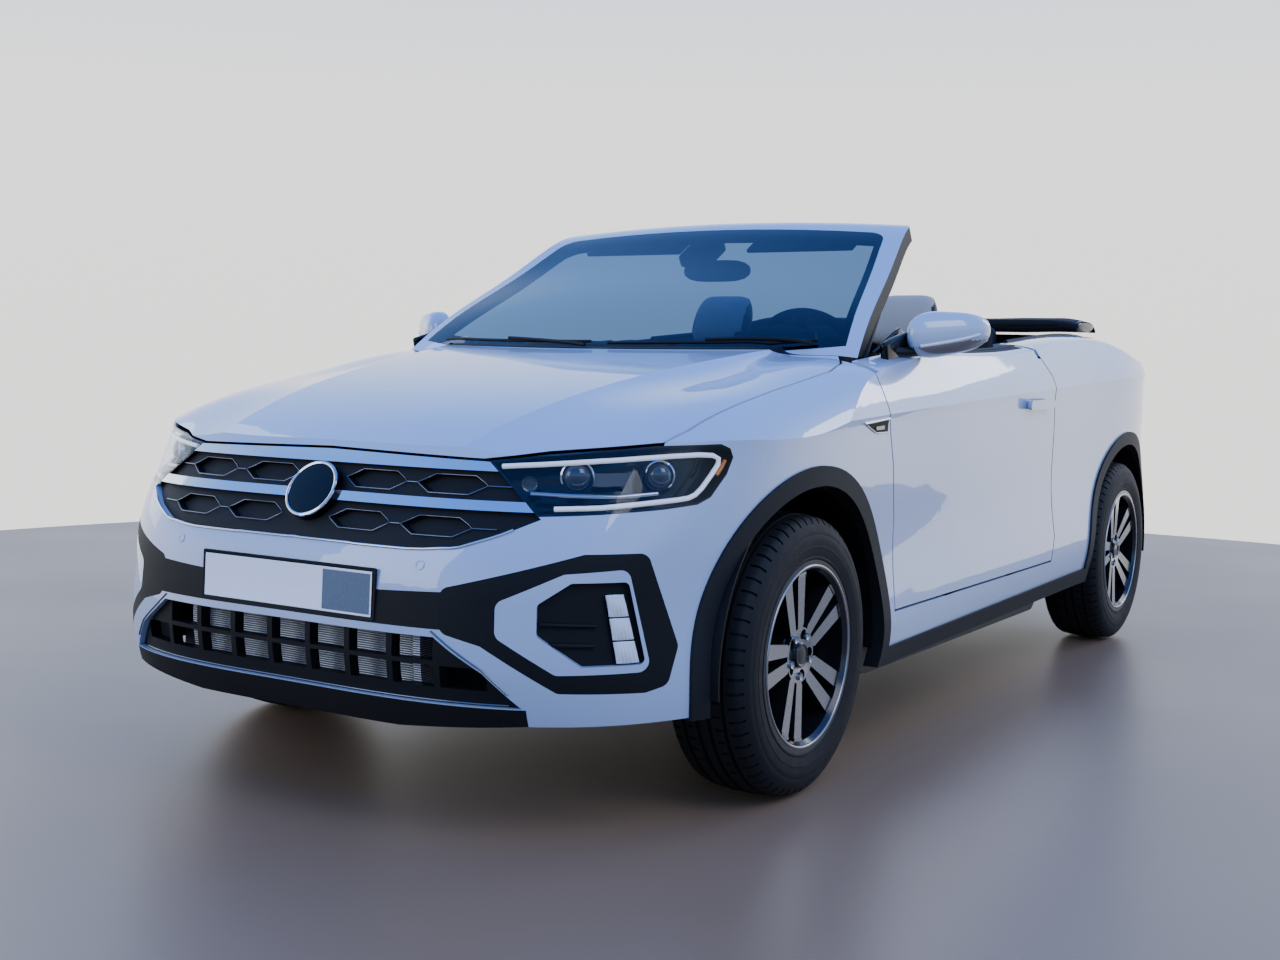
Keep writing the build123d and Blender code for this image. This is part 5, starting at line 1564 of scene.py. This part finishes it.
def rear_back(u, v):
    """The rear bench's backrest with two hollows for the inserts."""
    turn = u * tau
    y = -0.556 + 1.112 * v
    end = max(0.0, 1 - abs(2 * v - 1) ** 40) ** 0.4
    cosine, sine = cos(turn), sin(turn)
    up = 0.272 + swell(sine, 0.5) * 0.290 * end
    out = -0.060 + swell(cosine, 0.5) * 0.058 * max(end, 0.02)
    if cosine > 0.3:
        out -= hollow_at(abs(y) - 0.290, 0.180, 0.014)
    return REAR_BACK.at(y - 0.290, up, out)


class SUV_OT_rear_seat(bpy.types.Operator):
    """Rear bench for two: hide base, puffed cloth inserts, head restraints and belt buckles"""
    bl_idname = "suv.rear_seat"
    bl_label = "Rear seat"

    def execute(self, context):
        bench = finished(laid(48, 120, rear_cushion), "rear_cushion_shell", "seat_side", angle=60)
        back = finished(laid(48, 120, rear_back), "rear_back_shell", "seat_side", angle=60)
        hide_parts("rear_seat")
        insert = pad((0.380, 0.430, 0.034), lambda a, b, c: REAR_BACK.at(
            a * 0.176, 0.285 + 0.205 * b, -0.010 + c * 0.014))
        cushion = pad((0.370, 0.330, 0.034), lambda a, b, c: Vector((
            -0.775 + 0.155 * b, 0.290 + a * 0.172, between(REAR_TOP, -0.775 + 0.155 * b) - 0.010 + c * 0.013)))
        rest = pad((0.240, 0.130, 0.066), lambda a, b, c: REAR_BACK.at(
            a * 0.116, 0.628 + 0.064 * b, -0.040 + c * 0.026))
        puff([insert, cushion, rest], 0.008)
        sew(insert, REAR_BACK, (0.16, 0.28, 0.40))
        for shape, name in ((insert, "rear_back_insert"), (cushion, "rear_cushion_insert")):
            for piece in pair_of(shape, name, "seat_cloth", 70):
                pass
        for piece in pair_of(rest, "rear_head_rest", "seat_side", 70):
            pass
        posts = [tube([REAR_BACK.at(s * 0.055, 0.545, -0.045), REAR_BACK.at(s * 0.055, 0.590, -0.042)], 0.006)
                 for s in (1, -1)]
        pair_of(join(posts), "rear_rest_posts", "chrome_satin")
        buckles = [block((0.018, 0.026, 0.060), (-0.945, s, 0.545), 0.005, 2, turn=(0, radians(-20), 0))
                   for s in (0.060, 0.490)]
        pair_of(join(buckles), "rear_buckles", "matt_black")
        return {"FINISHED"}


ROOF_LINE = [
    (-1.262, 1.1495), (-1.246, 1.156), (-1.2465, 1.172), (-1.274, 1.1945), (-1.345, 1.2040), (-1.425, 1.1965),
    (-1.466, 1.1730), (-1.479, 1.160), (-1.470, 1.1525), (-1.430, 1.1560), (-1.360, 1.1630), (-1.290, 1.1650),
    (-1.262, 1.1700), (-1.268, 1.1790), (-1.330, 1.1840), (-1.400, 1.1800), (-1.450, 1.1690),
]


def roof_spot(u, v):
    """The folded canopy: u across the car, v along the folded cloth."""
    place = v * (len(ROOF_LINE) - 1)
    number = min(int(place), len(ROOF_LINE) - 2)
    t = place - number
    points = [ROOF_LINE[max(0, min(len(ROOF_LINE) - 1, number + k))] for k in (-1, 0, 1, 2)]
    spot = []
    for axis in (0, 1):
        a, b, c, d = (p[axis] for p in points)
        spot.append(0.5 * (2 * b + (c - a) * t + (2 * a - 5 * b + 4 * c - d) * t * t
                           + (3 * b - a - 3 * c + d) * t ** 3))
    y = (2 * u - 1) * 0.700
    slack = 0.0016 * sin(9.3 * y + 5 * v) + 0.0010 * sin(23.1 * y - 11 * v)
    drop = 0.016 * max(0.0, (abs(y) - 0.600) / 0.100) ** 2
    z = spot[1] + slack * (1 - abs(2 * u - 1) ** 6) - drop * (spot[1] - 1.148) / 0.058
    return Vector((spot[0] + 0.4 * slack, y, min(max(z, 1.149), 1.2055)))


class SUV_OT_soft_top(bpy.types.Operator):
    """The canopy folded in three behind the cabin, its front bow, side flaps and rear tongue"""
    bl_idname = "suv.soft_top"
    bl_label = "Folded soft top"

    def execute(self, context):
        cloth = laid(150, 150, roof_spot)
        modify(cloth, "SOLIDIFY", thickness=0.0016, offset=0)
        finished(cloth, "folded_canopy", "roof_cloth", angle=80)
        bow = laid(90, 14, roof_bow)
        finished(bow, "roof_front_bow", "matt_black", angle=60)
        flap = laid(24, 16, roof_flap)
        pair_of(flap, "roof_side_flap", "gloss_black", 60)
        tongue = block((0.018, 1.330, 0.060), (-1.318, 0, 1.095), 0.004, 2)
        finished(tongue, "roof_tongue", "roof_cloth")
        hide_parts("soft_top")
        return {"FINISHED"}


def roof_bow(u, v):
    """The rigid front bow lying on the folded cloth's front edge."""
    turn = v * tau
    y = (2 * u - 1) * 0.640
    end = max(0.0, 1 - abs(2 * u - 1) ** 30) ** 0.5
    middle = Vector((-1.2500, y, 1.1790))
    return middle + Vector((0.0060 * cos(turn), 0, 0.0150 * sin(turn))) * max(end, 0.05)


def roof_flap(u, v):
    """The smooth end cap at each side of the stack."""
    turn = u * tau
    along = -cos(pi * v)
    end = max(0.0, 1 - abs(along) ** 3) ** 0.5
    x = -1.362 + 0.112 * along
    return Vector((x, 0.690 + 0.013 * cos(turn) * end, 1.171 + 0.021 * sin(turn) * end))


# ---------------------------------------------------------------- cabin
def slope_block(size, at, lean, bevel=0.003, segments=2):
    """A block on the dash, turned about the car's cross axis by lean degrees."""
    return block(size, at, bevel, segments, turn=(0, radians(lean), 0))


def sunk(obj, way, rim, depth):
    """Insets the face that looks along way and sinks it."""
    way = Vector(way).normalized()
    pick_faces(obj, lambda face: face.normal.dot(way) > 0.9)
    bpy.ops.mesh.inset(thickness=rim)
    bpy.ops.transform.translate(value=-way * depth)
    into("OBJECT")
    return obj


class SUV_OT_dashboard(bpy.types.Operator):
    """Instrument hood, blank screens, air vents with slats, trim strip, climate panel, glovebox and stalks"""
    bl_idname = "suv.dashboard"
    bl_label = "Dashboard"

    def execute(self, context):
        hood = laid(24, 16, instrument_hood)
        modify(hood, "SOLIDIFY", thickness=0.010, offset=-1)
        finished(hood, "instrument_hood", "dash", angle=50)
        cluster = sunk(slope_block((0.014, 0.262, 0.108), (0.540, 0.370, 1.050), 18),
                       (-0.951, 0, 0.309), 0.006, 0.002)
        finished(cluster, "instrument_screen", "gloss_black")
        centre = sunk(slope_block((0.016, 0.232, 0.134), (0.462, 0.0, 0.990), 10, 0.005, 3),
                      (-0.985, 0, 0.174), 0.007, 0.0015)
        finished(centre, "centre_screen", "gloss_black")
        strips = [slope_block((0.012, 0.400, 0.040), (0.452, y, 0.925), -8, 0.004, 3) for y in (-0.400, 0.440)]
        finished(join(strips), "dash_strip", "chrome_dark")
        frames, slats = [], []
        for y, wide in ((0.640, 0.080), (-0.640, 0.080), (0.058, 0.104), (-0.058, 0.104)):
            z = 0.985 if abs(y) > 0.5 else 0.895
            x = 0.452 if abs(y) > 0.5 else 0.456
            frames.append(sunk(slope_block((0.020, wide, 0.050), (x, y, z), 0, 0.004, 2),
                               (-1, 0, 0), 0.006, 0.012))
            slats += [slope_block((0.012, wide - 0.014, 0.0025), (x - 0.004, y, z + dz), 22, 0.0008, 1)
                      for dz in (-0.013, 0.0, 0.013)]
        finished(join(frames), "air_vents", "gloss_black")
        finished(join(slats), "vent_slats", "chrome_satin")
        panel = sunk(slope_block((0.014, 0.230, 0.048), (0.475, 0.0, 0.838), -20, 0.004), (-0.94, 0, -0.342),
                     0.003, 0.001)
        finished(panel, "climate_panel", "gloss_black")
        knobs = [button(0.017, 0.022, (0.466, y, 0.836), (-0.94, 0, -0.342), 32, 0.002, -0.002)
                 for y in (-0.088, 0.088)]
        finished(join(knobs), "climate_knobs", "chrome_satin")
        box = sunk(slope_block((0.012, 0.420, 0.150), (0.508, -0.400, 0.776), -22, 0.006), (-0.927, 0, -0.375),
                   0.006, 0.002)
        lid = slope_block((0.010, 0.070, 0.016), (0.492, -0.400, 0.812), -22, 0.003)
        finished(join([box, lid]), "glovebox_lid", "dash")
        stalks = []
        for side in (1, -1):
            stalks.append(tube([(0.460, 0.370 + side * 0.035, 0.945), (0.425, 0.370 + side * 0.110, 0.965),
                                (0.405, 0.370 + side * 0.160, 0.972)], 0.0065, smooth=True))
        finished(join(stalks), "column_stalks", "matt_black")
        shroud = laid(28, 8, column_shroud)
        finished(shroud, "column_shroud", "dash", angle=60)
        pedals = []
        for y, wide in ((0.300, 0.090), (0.420, 0.056)):
            pedals.append(slope_block((0.012, wide, 0.072), (0.742, y, 0.372), 35, 0.005, 2))
            pedals.append(tube([(0.748, y, 0.390), (0.800, y, 0.500), (0.850, y, 0.610)], 0.008, smooth=True))
        finished(join(pedals), "pedals", "steel")
        return {"FINISHED"}


def instrument_hood(u, v):
    """A shallow arch over the instruments, its lip towards the driver."""
    across = 2 * u - 1
    crown = 0.100 * (1 - abs(across) ** 2.6)
    x = 0.505 + 0.200 * v + 0.030 * across * across
    return Vector((x, 0.370 + 0.172 * across, 1.014 + crown * (1 - 0.75 * v * v)))


def column_shroud(u, v):
    """The cover around the steering column, narrower towards the wheel."""
    turn = u * tau
    start, stop = Vector((0.520, 0.370, 0.923)), Vector((0.392, 0.370, 0.968))
    size = 0.052 - 0.010 * v
    middle = start.lerp(stop, v)
    rise = size * sin(turn)
    return middle + Vector((0.332 * rise, size * cos(turn), 0.943 * rise))


HUB = Vector((0.345, 0.370, 0.985))
HUB_AXIS = Vector((-0.943, 0, 0.332)).normalized()
HUB_UP = Vector((0.332, 0, 0.943)).normalized()


def on_wheel(across, up, out):
    """A place on the steering wheel, measured from its hub in the rim's own plane."""
    return HUB + Vector((0, across, 0)) + HUB_UP * up + HUB_AXIS * out


class SUV_OT_steering_wheel(bpy.types.Operator):
    """Padded blank hub, black spoke inlays, satin lower spoke trim and thumb buttons on the flat-bottomed rim
    """
    bl_idname = "suv.steering_wheel"
    bl_label = "Steering wheel"

    def execute(self, context):
        turned = body_of("steering_wheel")
        hub = laid(40, 14, wheel_pad)
        finished(hub, "airbag_cover", "dash", turned, 50)
        spokes = []
        for side in (1, -1):
            inlay = laid(10, 3, lambda u, v, s=side: on_wheel(
                s * (0.078 + 0.072 * u), -0.014 - 0.012 * u + (0.034 - 0.010 * u) * (v - 0.5),
                0.026 - 0.010 * u))
            modify(inlay, "SOLIDIFY", thickness=0.004, offset=0)
            spokes.append(inlay)
        finished(join(spokes), "spoke_inlays", "gloss_black", turned)
        knobs = [button(0.0055, 0.004, on_wheel(side * across, up, 0.026), HUB_AXIS, 20, 0.001, -0.0008)
                 for side in (1, -1) for across, up in ((0.094, -0.010), (0.094, -0.026), (0.112, -0.018))]
        finished(join(knobs), "thumb_buttons", "chrome_satin", turned)
        clip = tube([on_wheel(-0.032, -0.092, 0.012), on_wheel(0, -0.100, 0.012),
                     on_wheel(0.032, -0.092, 0.012)],
                    0.006, smooth=True)
        finished(clip, "lower_spoke_trim", "chrome_satin", turned)
        return {"FINISHED"}


def wheel_pad(u, v):
    """Cushion over the hub: round at the edge, gently crowned."""
    turn = u * tau
    reach = v if v < 0.999 else 1.0
    wide, tall = 0.076, 0.062
    cosine, sine = cos(turn), sin(turn)
    out = 0.034 - 0.018 * reach ** 4 if v < 0.93 else 0.034 - 0.018 * reach ** 4 - 0.016 * (v - 0.93) / 0.07
    return on_wheel(swell(cosine, 0.8) * wide * min(1.0, reach * 1.06),
                    swell(sine, 0.8) * tall * min(1.0, reach * 1.06), out)


class SUV_OT_console(bpy.types.Operator):
    """Gear lever on its gaiter, cup holders, switches, a top plate, a brake switch and a padded centre armrest
    """
    bl_idname = "suv.console"
    bl_label = "Centre console"

    def execute(self, context):
        plate = block((0.330, 0.150, 0.006), (0.130, 0, 0.5635), 0.002, 2)
        finished(plate, "console_plate", "gloss_black")
        gaiter = lathe([(0.0, 0.048), (0.010, 0.046), (0.022, 0.034),
                        (0.036, 0.028), (0.050, 0.018), (0.058, 0.011)],
                       (0.205, 0, 0.566), (0, 0, 1), 40)
        finished(gaiter, "lever_gaiter", "seat_side", angle=60)
        knob = lathe([(0.0, 0.010), (0.008, 0.014), (0.020, 0.020), (0.040, 0.0235),
                      (0.056, 0.022), (0.066, 0.015), (0.070, 0.0)], (0.205, 0, 0.622), (-0.12, 0, 1), 40)
        finished(knob, "lever_knob", "chrome_satin", angle=50)
        cups = [lathe([(-0.001, 0.0), (-0.001, 0.030), (0.003, 0.034),
                       (0.008, 0.036), (0.008, 0.040), (0.0, 0.041)],
                      (x, 0, 0.566), (0, 0, 1), 40) for x in (0.085, 0.000)]
        finished(join(cups), "cup_holders", "chrome_dark")
        keys = [block((0.016, 0.022, 0.006), (x, side * 0.062, 0.568), 0.0015, 1)
                for x in (0.180, 0.205, 0.230) for side in (1, -1)]
        finished(join(keys), "console_switches", "matt_black")
        rest = pad((0.250, 0.190, 0.060), lambda a, b, c: Vector((
            -0.205 + a * 0.118, b * 0.096, 0.668 + c * 0.026)))
        puff([rest], 0.006)
        finished(rest, "console_armrest", "seat_side", angle=70)
        brake = block((0.030, 0.026, 0.010), (0.270, 0, 0.570), 0.003, 2)
        finished(brake, "brake_switch", "chrome_dark")
        return {"FINISHED"}


class SUV_OT_trim(bpy.types.Operator):
    """Carpet on the floor, black inner side walls, sill plates and floor mats"""
    bl_idname = "suv.trim"
    bl_label = "Cabin trim"

    def execute(self, context):
        def underfoot(face):
            return 1 if -1.25 < face.center.x < 0.95 and (face.normal.z > 0.05 or face.normal.x < -0.3) else 0
        dressed("floor_pan", ["steel", "carpet"], underfoot, "floor_carpeted")
        for name, side in (("left", 1), ("right", -1)):
            def lined(face, side=side):
                spot = face.center
                inward = face.normal.y * side < -0.5 or (face.normal.x > 0.7 and -0.60 < spot.x < -0.40)
                if spot.x < 0.55:
                    inward = inward or (spot.z < 0.95 and abs(spot.y) < 0.800)
                    inward = inward or (face.normal.z > 0.5 and spot.z < 0.90 and abs(spot.y) < 0.86)
                return 1 if inward and spot.z > 0.18 and -1.65 < spot.x < 0.95 else 0
            dressed("body_side_" + name, ["paint", "dash"], lined, "side_lined_" + name)
        coaming = rim_line("body_side_left", -0.480, -1.470, 50)
        pair_of(tube(coaming, 0.0085, sides=4), "cabin_coaming", "matt_black")
        mats = []
        for x, y, long, wide in ((0.480, 0.360, 0.380, 0.400), (-0.560, 0.330, 0.150, 0.360)):
            mat = block((long, wide, 0.010), (x, y, 0.232), 0.004, 2)
            mats.append(mat)
        pair_of(join(mats), "floor_mats", "carpet")
        sill = block((0.620, 0.034, 0.004), (0.230, 0.735, 0.378), 0.0015, 2)
        pair_of(sill, "sill_plate", "chrome_satin")
        return {"FINISHED"}


# ---------------------------------------------------------------- rear
def from_back(nodes, y, z, lift=0.0):
    """Where a ray from behind meets the nodes, moved backwards by lift."""
    spot = meet(nodes, (-3, y, z), (1, 0, 0))[0]
    return Vector((spot.x - lift, y, z)) if spot else None


def behind_line(nodes, points, lift, spacing=0.012):
    """A line of (y, z) spots laid on the rear of the nodes."""
    return met(from_back(nodes, p.x, p.y, lift) for p in along([Vector(p) for p in points], spacing))


class SUV_OT_tail_lamps(bpy.types.Operator):
    """Red lamps with a smoked frame, lit guide lines, a clear reversing segment and an upper brake light"""
    bl_idname = "suv.tail_lamps"
    bl_label = "Tail lamps"

    def execute(self, context):
        def choose(face):
            spot = face.center
            return 1 if abs(face.normal.z) > 0.8 or face.normal.x > 0.3 or spot.x > -1.700 else 0
        dressed("tail_lamps", ["red_lens", "gloss_black"], choose, "tail_lamp_lenses")
        lamp = ("tail_lamps",)
        clear = laid(10, 4, lambda u, v: from_back(lamp, 0.580 + 0.090 * u, 0.820 + 0.026 * v, 0.0010))
        modify(clear, "SOLIDIFY", thickness=0.002, offset=0)
        pair_of(clear, "reversing_lens", "ribbed_lens")
        bars = []
        for z in (0.915, 0.872):
            bars.append(tube(behind_line(lamp, ((0.560, z), (0.700, z), (0.790, z)), 0.0012), 0.0036))
        side = met(from_side(lamp, x / 1000, 0.893, 0.0010) for x in range(-1930, -1719, 14))
        bars.append(tube(side, 0.0030))
        pair_of(join(bars), "tail_guides", "red_glow")
        strip = [from_above(("rear_deck",), -1.478, y / 100, 0.0030) for y in range(-22, 23, 2)]
        strip = [p for p in strip if p]
        finished(tube(strip, 0.0045), "upper_brake_light", "red_glow")
        return {"FINISHED"}


class SUV_OT_tail(bpy.types.Operator):
    """Blank rear plate in its recess, blank badge, lid grip, reflectors, tail-pipe trims and lower bumper"""
    bl_idname = "suv.tail"
    bl_label = "Tail"

    def execute(self, context):
        lid = body_of("trunk_lid")
        panel = ("trunk_lid", "rear_bumper")
        top, low = from_back(panel, 0, 0.870), from_back(panel, 0, 0.780)
        lean = atan2(top.x - low.x, 0.090)
        middle = min(top.x, low.x, from_back(panel, 0.255, 0.825).x) - 0.002
        at = (middle - 0.001, 0, 0.825)
        holder = sunk(block((0.008, 0.530, 0.122), at, 0.003, 2, turn=(0, lean, 0)), (-1, 0, 0), 0.006, 0.002)
        finished(holder, "rear_plate_holder", "matt_black", lid)
        plate = sunk(block((0.003, 0.506, 0.100), (middle - 0.0045, 0, 0.825), 0.0008, 1, turn=(0, lean, 0)),
                     (-1, 0, 0), 0.004, 0.0005)
        finished(plate, "rear_plate_blank", "plate", lid)
        grip = sunk(block((0.020, 0.180, 0.020), (from_back(panel, 0, 0.905).x - 0.006, 0, 0.905), 0.004, 2),
                    (0, 0, -1), 0.003, 0.006)
        finished(grip, "lid_grip", "gloss_black", lid)
        spot, way = meet(("trunk_lid",), (-3, 0, 0.990), (1, 0, 0))
        ring = lathe([(0.0002, 0.046), (0.0026, 0.0455), (0.0036, 0.043), (0.0026, 0.0405), (0.0002, 0.040)],
                     spot, way, 64)
        finished(ring, "rear_badge_ring", "chrome", lid)
        disc = lathe([(-0.004, 0.0395), (0.0012, 0.0392), (0.0030, 0.026), (0.0036, 0.0)], spot, way, 56)
        finished(disc, "rear_badge_blank", "alloy_dark", lid)

        def lower(face):
            return 1 if face.center.z < 0.405 else 0
        dressed("rear_bumper", ["paint", "cladding"], lower, "rear_bumper_two_tone")
        bumper = ("rear_bumper",)
        band = laid(120, 6, lambda u, v: round_tail(
            102 + 156 * u, 0.345 + 0.100 * v, 0.0016 + 0.0024 * v * (1 - v)))
        finished(band, "rear_bumper_band", "cladding", angle=50)
        line = [round_tail(102 + 156 * k / 60, 0.446, 0.0012) for k in range(61)]
        finished(tube(line, 0.0026), "rear_bumper_line", "chrome_satin")
        dots = []
        lens = laid(16, 3, lambda u, v: from_back(bumper, 0.525 + 0.150 * u, 0.480 + 0.022 * v, 0.0016))
        modify(lens, "SOLIDIFY", thickness=0.003, offset=0)
        pair_of(lens, "rear_reflector", "red_lens")
        frame_spot = from_back(bumper, 0.520, 0.335, 0.0)
        ring = sunk(block((0.030, 0.170, 0.046), frame_spot + Vector((0.006, 0, 0)), 0.010, 3), (-1, 0, 0),
                    0.007, 0.018)
        pair_of(ring, "tail_pipe_trim", "chrome_dark")
        for y in (-0.620, -0.230, 0.230, 0.620):
            spot, way = meet(bumper, (-3, y, 0.575), (1, 0, 0))
            if spot:
                dots.append(park_sensor(spot, way))
        finished(join(dots), "rear_park_sensors", "matt_black")
        fins = []
        for y in (-0.300, -0.100, 0.100, 0.300):
            spot = from_back(bumper, y, 0.330)
            if spot:
                fins.append(block((0.060, 0.010, 0.070), spot + Vector((0.018, 0, 0)), 0.003, 2))
        finished(join(fins), "diffuser_fins", "cladding")
        return {"FINISHED"}


def round_tail(degrees, z, lift):
    """A spot on the rear bumper, seen from the middle of the tail at this heading."""
    way = Vector((cos(radians(degrees)), sin(radians(degrees)), 0))
    middle = Vector((-1.560, 0, z))
    spot = skin("rear_bumper").ray_cast(middle + way * 2, -way)[0]
    return (Vector(spot) if spot else middle + way * 0.5) + way * lift


class SUV_OT_sides(bpy.types.Operator):
    """The outline of the fuel flap in the car's side"""
    bl_idname = "suv.sides"
    bl_label = "Sides"

    def execute(self, context):
        flap = []
        for k in range(33):
            turn = k / 32 * tau
            x = -1.600 + 0.070 * swell(cos(turn), 0.5)
            z = 0.930 + 0.062 * swell(sin(turn), 0.5)
            spot = skin("body_side_right").ray_cast(Vector((x, -2, z)), Vector((0, 1, 0)))[0]
            if spot:
                flap.append(Vector(spot) + Vector((0, 0.0003, 0)))
        finished(tube(flap, 0.0011, closed=True), "fuel_flap_line", "matt_black")
        return {"FINISHED"}


SKY_STRENGTH = 1.85
# the viewer's place in metres and its turn, tilt and roll in degrees
CAMERA_AT = (4.5507, 2.4562, 1.0209)
CAMERA_TURN = (212.398, -4.4835, 1.0894)


class SUV_OT_stage(bpy.types.Operator):
    """Floor, studio light and the camera"""
    bl_idname = "suv.stage"
    bl_label = "Stage"

    def execute(self, context):
        pick_none()
        bpy.ops.mesh.primitive_circle_add(vertices=160, radius=5.2, fill_type="NGON", location=(0, 0, 0))
        floor = context.object
        floor.name = "studio_floor"
        material, tree, shader, place = blank("sealed_concrete", **{"Roughness": 0.4})
        tone = noise(tree, place, 1.5, detail=5.0)
        base = tuple(colours().floor)
        dark = toned(base, 0.88)
        tint(tree, shader, tone, dark, base)
        haze(tree, shader, tone, 0.28, 0.45)
        floor.data.materials.append(material)
        floor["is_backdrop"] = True

        world = bpy.data.worlds.new("studio_air")
        tree = empty_tree(world)
        way = add(tree, "ShaderNodeTexCoord").outputs["Generated"]
        height = add(tree, "ShaderNodeSeparateXYZ", {"Vector": way}).outputs["Z"]
        wall = ((0.0, "F6F4F2"), (0.16, "F6F6F6"), (0.32, "BFD5F6"), (0.55, "6C9EF2"), (1.0, "3F78E6"))
        open_side = ((0.0, "6E7B92"), (0.07, "8597B6"), (0.16, "A4BEE8"), (0.42, "5F94EE"), (1.0, "3F78E6"))
        shades = []
        for stops in (wall, open_side):
            ramp = add(tree, "ShaderNodeValToRGB", {"Fac": height})
            ramp.color_ramp.elements[0].color = srgb(stops[0][1])
            ramp.color_ramp.elements[1].color = srgb(stops[-1][1])
            for spot, code in stops[1:-1]:
                ramp.color_ramp.elements.new(spot).color = srgb(code)
            shades.append(ramp.outputs["Color"])
        # the pale wall stands behind the car, the darker open side of the studio in front and to its left
        facing = add(tree, "ShaderNodeVectorMath", {0: way, 1: (0.74, 0.67, 0.0)}, operation="DOT_PRODUCT")
        turn = add(tree, "ShaderNodeMapRange", {
            "Value": facing.outputs["Value"], "From Min": -0.35, "From Max": 0.35},
            interpolation_type="SMOOTHSTEP")
        shade = mix(tree, turn.outputs["Result"], shades[0], shades[1])
        sky = add(tree, "ShaderNodeBackground", {"Color": shade, "Strength": SKY_STRENGTH})
        add(tree, "ShaderNodeOutputWorld", {"Surface": sky.outputs["Background"]})
        context.scene.world = world

        lamps = (
            ("over_key", (2.5, 4.5, 4.2), (0.6, 0, 0.6), 3.0, 90),
            ("front_fill", (6.5, -2.5, 2.6), (1.0, 0, 0.6), 3.0, 60),
            ("rear_rim", (-6.0, 3.5, 4.0), (-0.5, 0, 0.7), 2.5, 90),
            ("right_fill", (0.5, -6.0, 3.2), (0, 0, 0.6), 4.0, 60),
        )
        for name, at, aim, size, power in lamps:
            data = bpy.data.lights.new(name, "AREA")
            data.size = size
            data.energy = power
            lamp = bpy.data.objects.new(name, data)
            lamp.location = at
            lamp.rotation_euler = (Vector(aim) - Vector(at)).to_track_quat("-Z", "Y").to_euler()
            context.scene.collection.objects.link(lamp)

        data = bpy.data.cameras.new("viewer")
        data.sensor_width = 36
        data.lens = context.scene.suv_sizes.lens
        camera = bpy.data.objects.new("viewer", data)
        camera.location = CAMERA_AT
        yaw, pitch, roll = (radians(turn) for turn in CAMERA_TURN)
        ahead = Vector((cos(pitch) * cos(yaw), cos(pitch) * sin(yaw), sin(pitch)))
        looking = ahead.to_track_quat("-Z", "Y")
        camera.rotation_euler = (looking @ Euler((0, 0, roll)).to_quaternion()).to_euler()
        context.scene.collection.objects.link(camera)
        context.scene.camera = camera
        return {"FINISHED"}


PARTS = (
    SUV_OT_finishes, SUV_OT_tyres, SUV_OT_rims, SUV_OT_brakes, SUV_OT_headlamps, SUV_OT_grille, SUV_OT_nose,
    SUV_OT_fog_lamps, SUV_OT_doors, SUV_OT_mirrors, SUV_OT_windscreen, SUV_OT_side_vents,
    SUV_OT_front_seats, SUV_OT_rear_seat, SUV_OT_soft_top, SUV_OT_dashboard, SUV_OT_steering_wheel,
    SUV_OT_console, SUV_OT_trim, SUV_OT_tail_lamps, SUV_OT_tail, SUV_OT_sides, SUV_OT_stage,
)


class SUV_PT_dresser(bpy.types.Panel):
    bl_label = "Open SUV"
    bl_idname = "SUV_PT_dresser"
    bl_space_type = "VIEW_3D"
    bl_region_type = "UI"
    bl_category = "Open SUV"

    def draw(self, context):
        for part in PARTS:
            self.layout.operator(part.bl_idname)
        for group in (context.scene.suv_colours, context.scene.suv_sizes):
            for name in group.bl_rna.properties.keys():
                if name not in ("rna_type", "name"):
                    self.layout.prop(group, name)


CLASSES = (SuvColours, SuvSizes) + PARTS + (SUV_PT_dresser,)


def register():
    """Makes the buttons, the panel and its properties known to Blender."""
    for item in CLASSES:
        bpy.utils.register_class(item)
    bpy.types.Scene.suv_colours = PointerProperty(type=SuvColours)
    bpy.types.Scene.suv_sizes = PointerProperty(type=SuvSizes)


def unregister():
    """Takes them out again."""
    del bpy.types.Scene.suv_sizes
    del bpy.types.Scene.suv_colours
    for item in reversed(CLASSES):
        bpy.utils.unregister_class(item)


def corners(box):
    return [list(corner) for corner in box]


def main():
    """Builds every piece in order."""
    register()
    for part in PARTS:
        group, name = part.bl_idname.split(".")
        getattr(getattr(bpy.ops, group), name)()
    {"cad": corners(CAD_BOX), "visual": corners(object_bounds())}


if __name__ == "__main__":
    main()
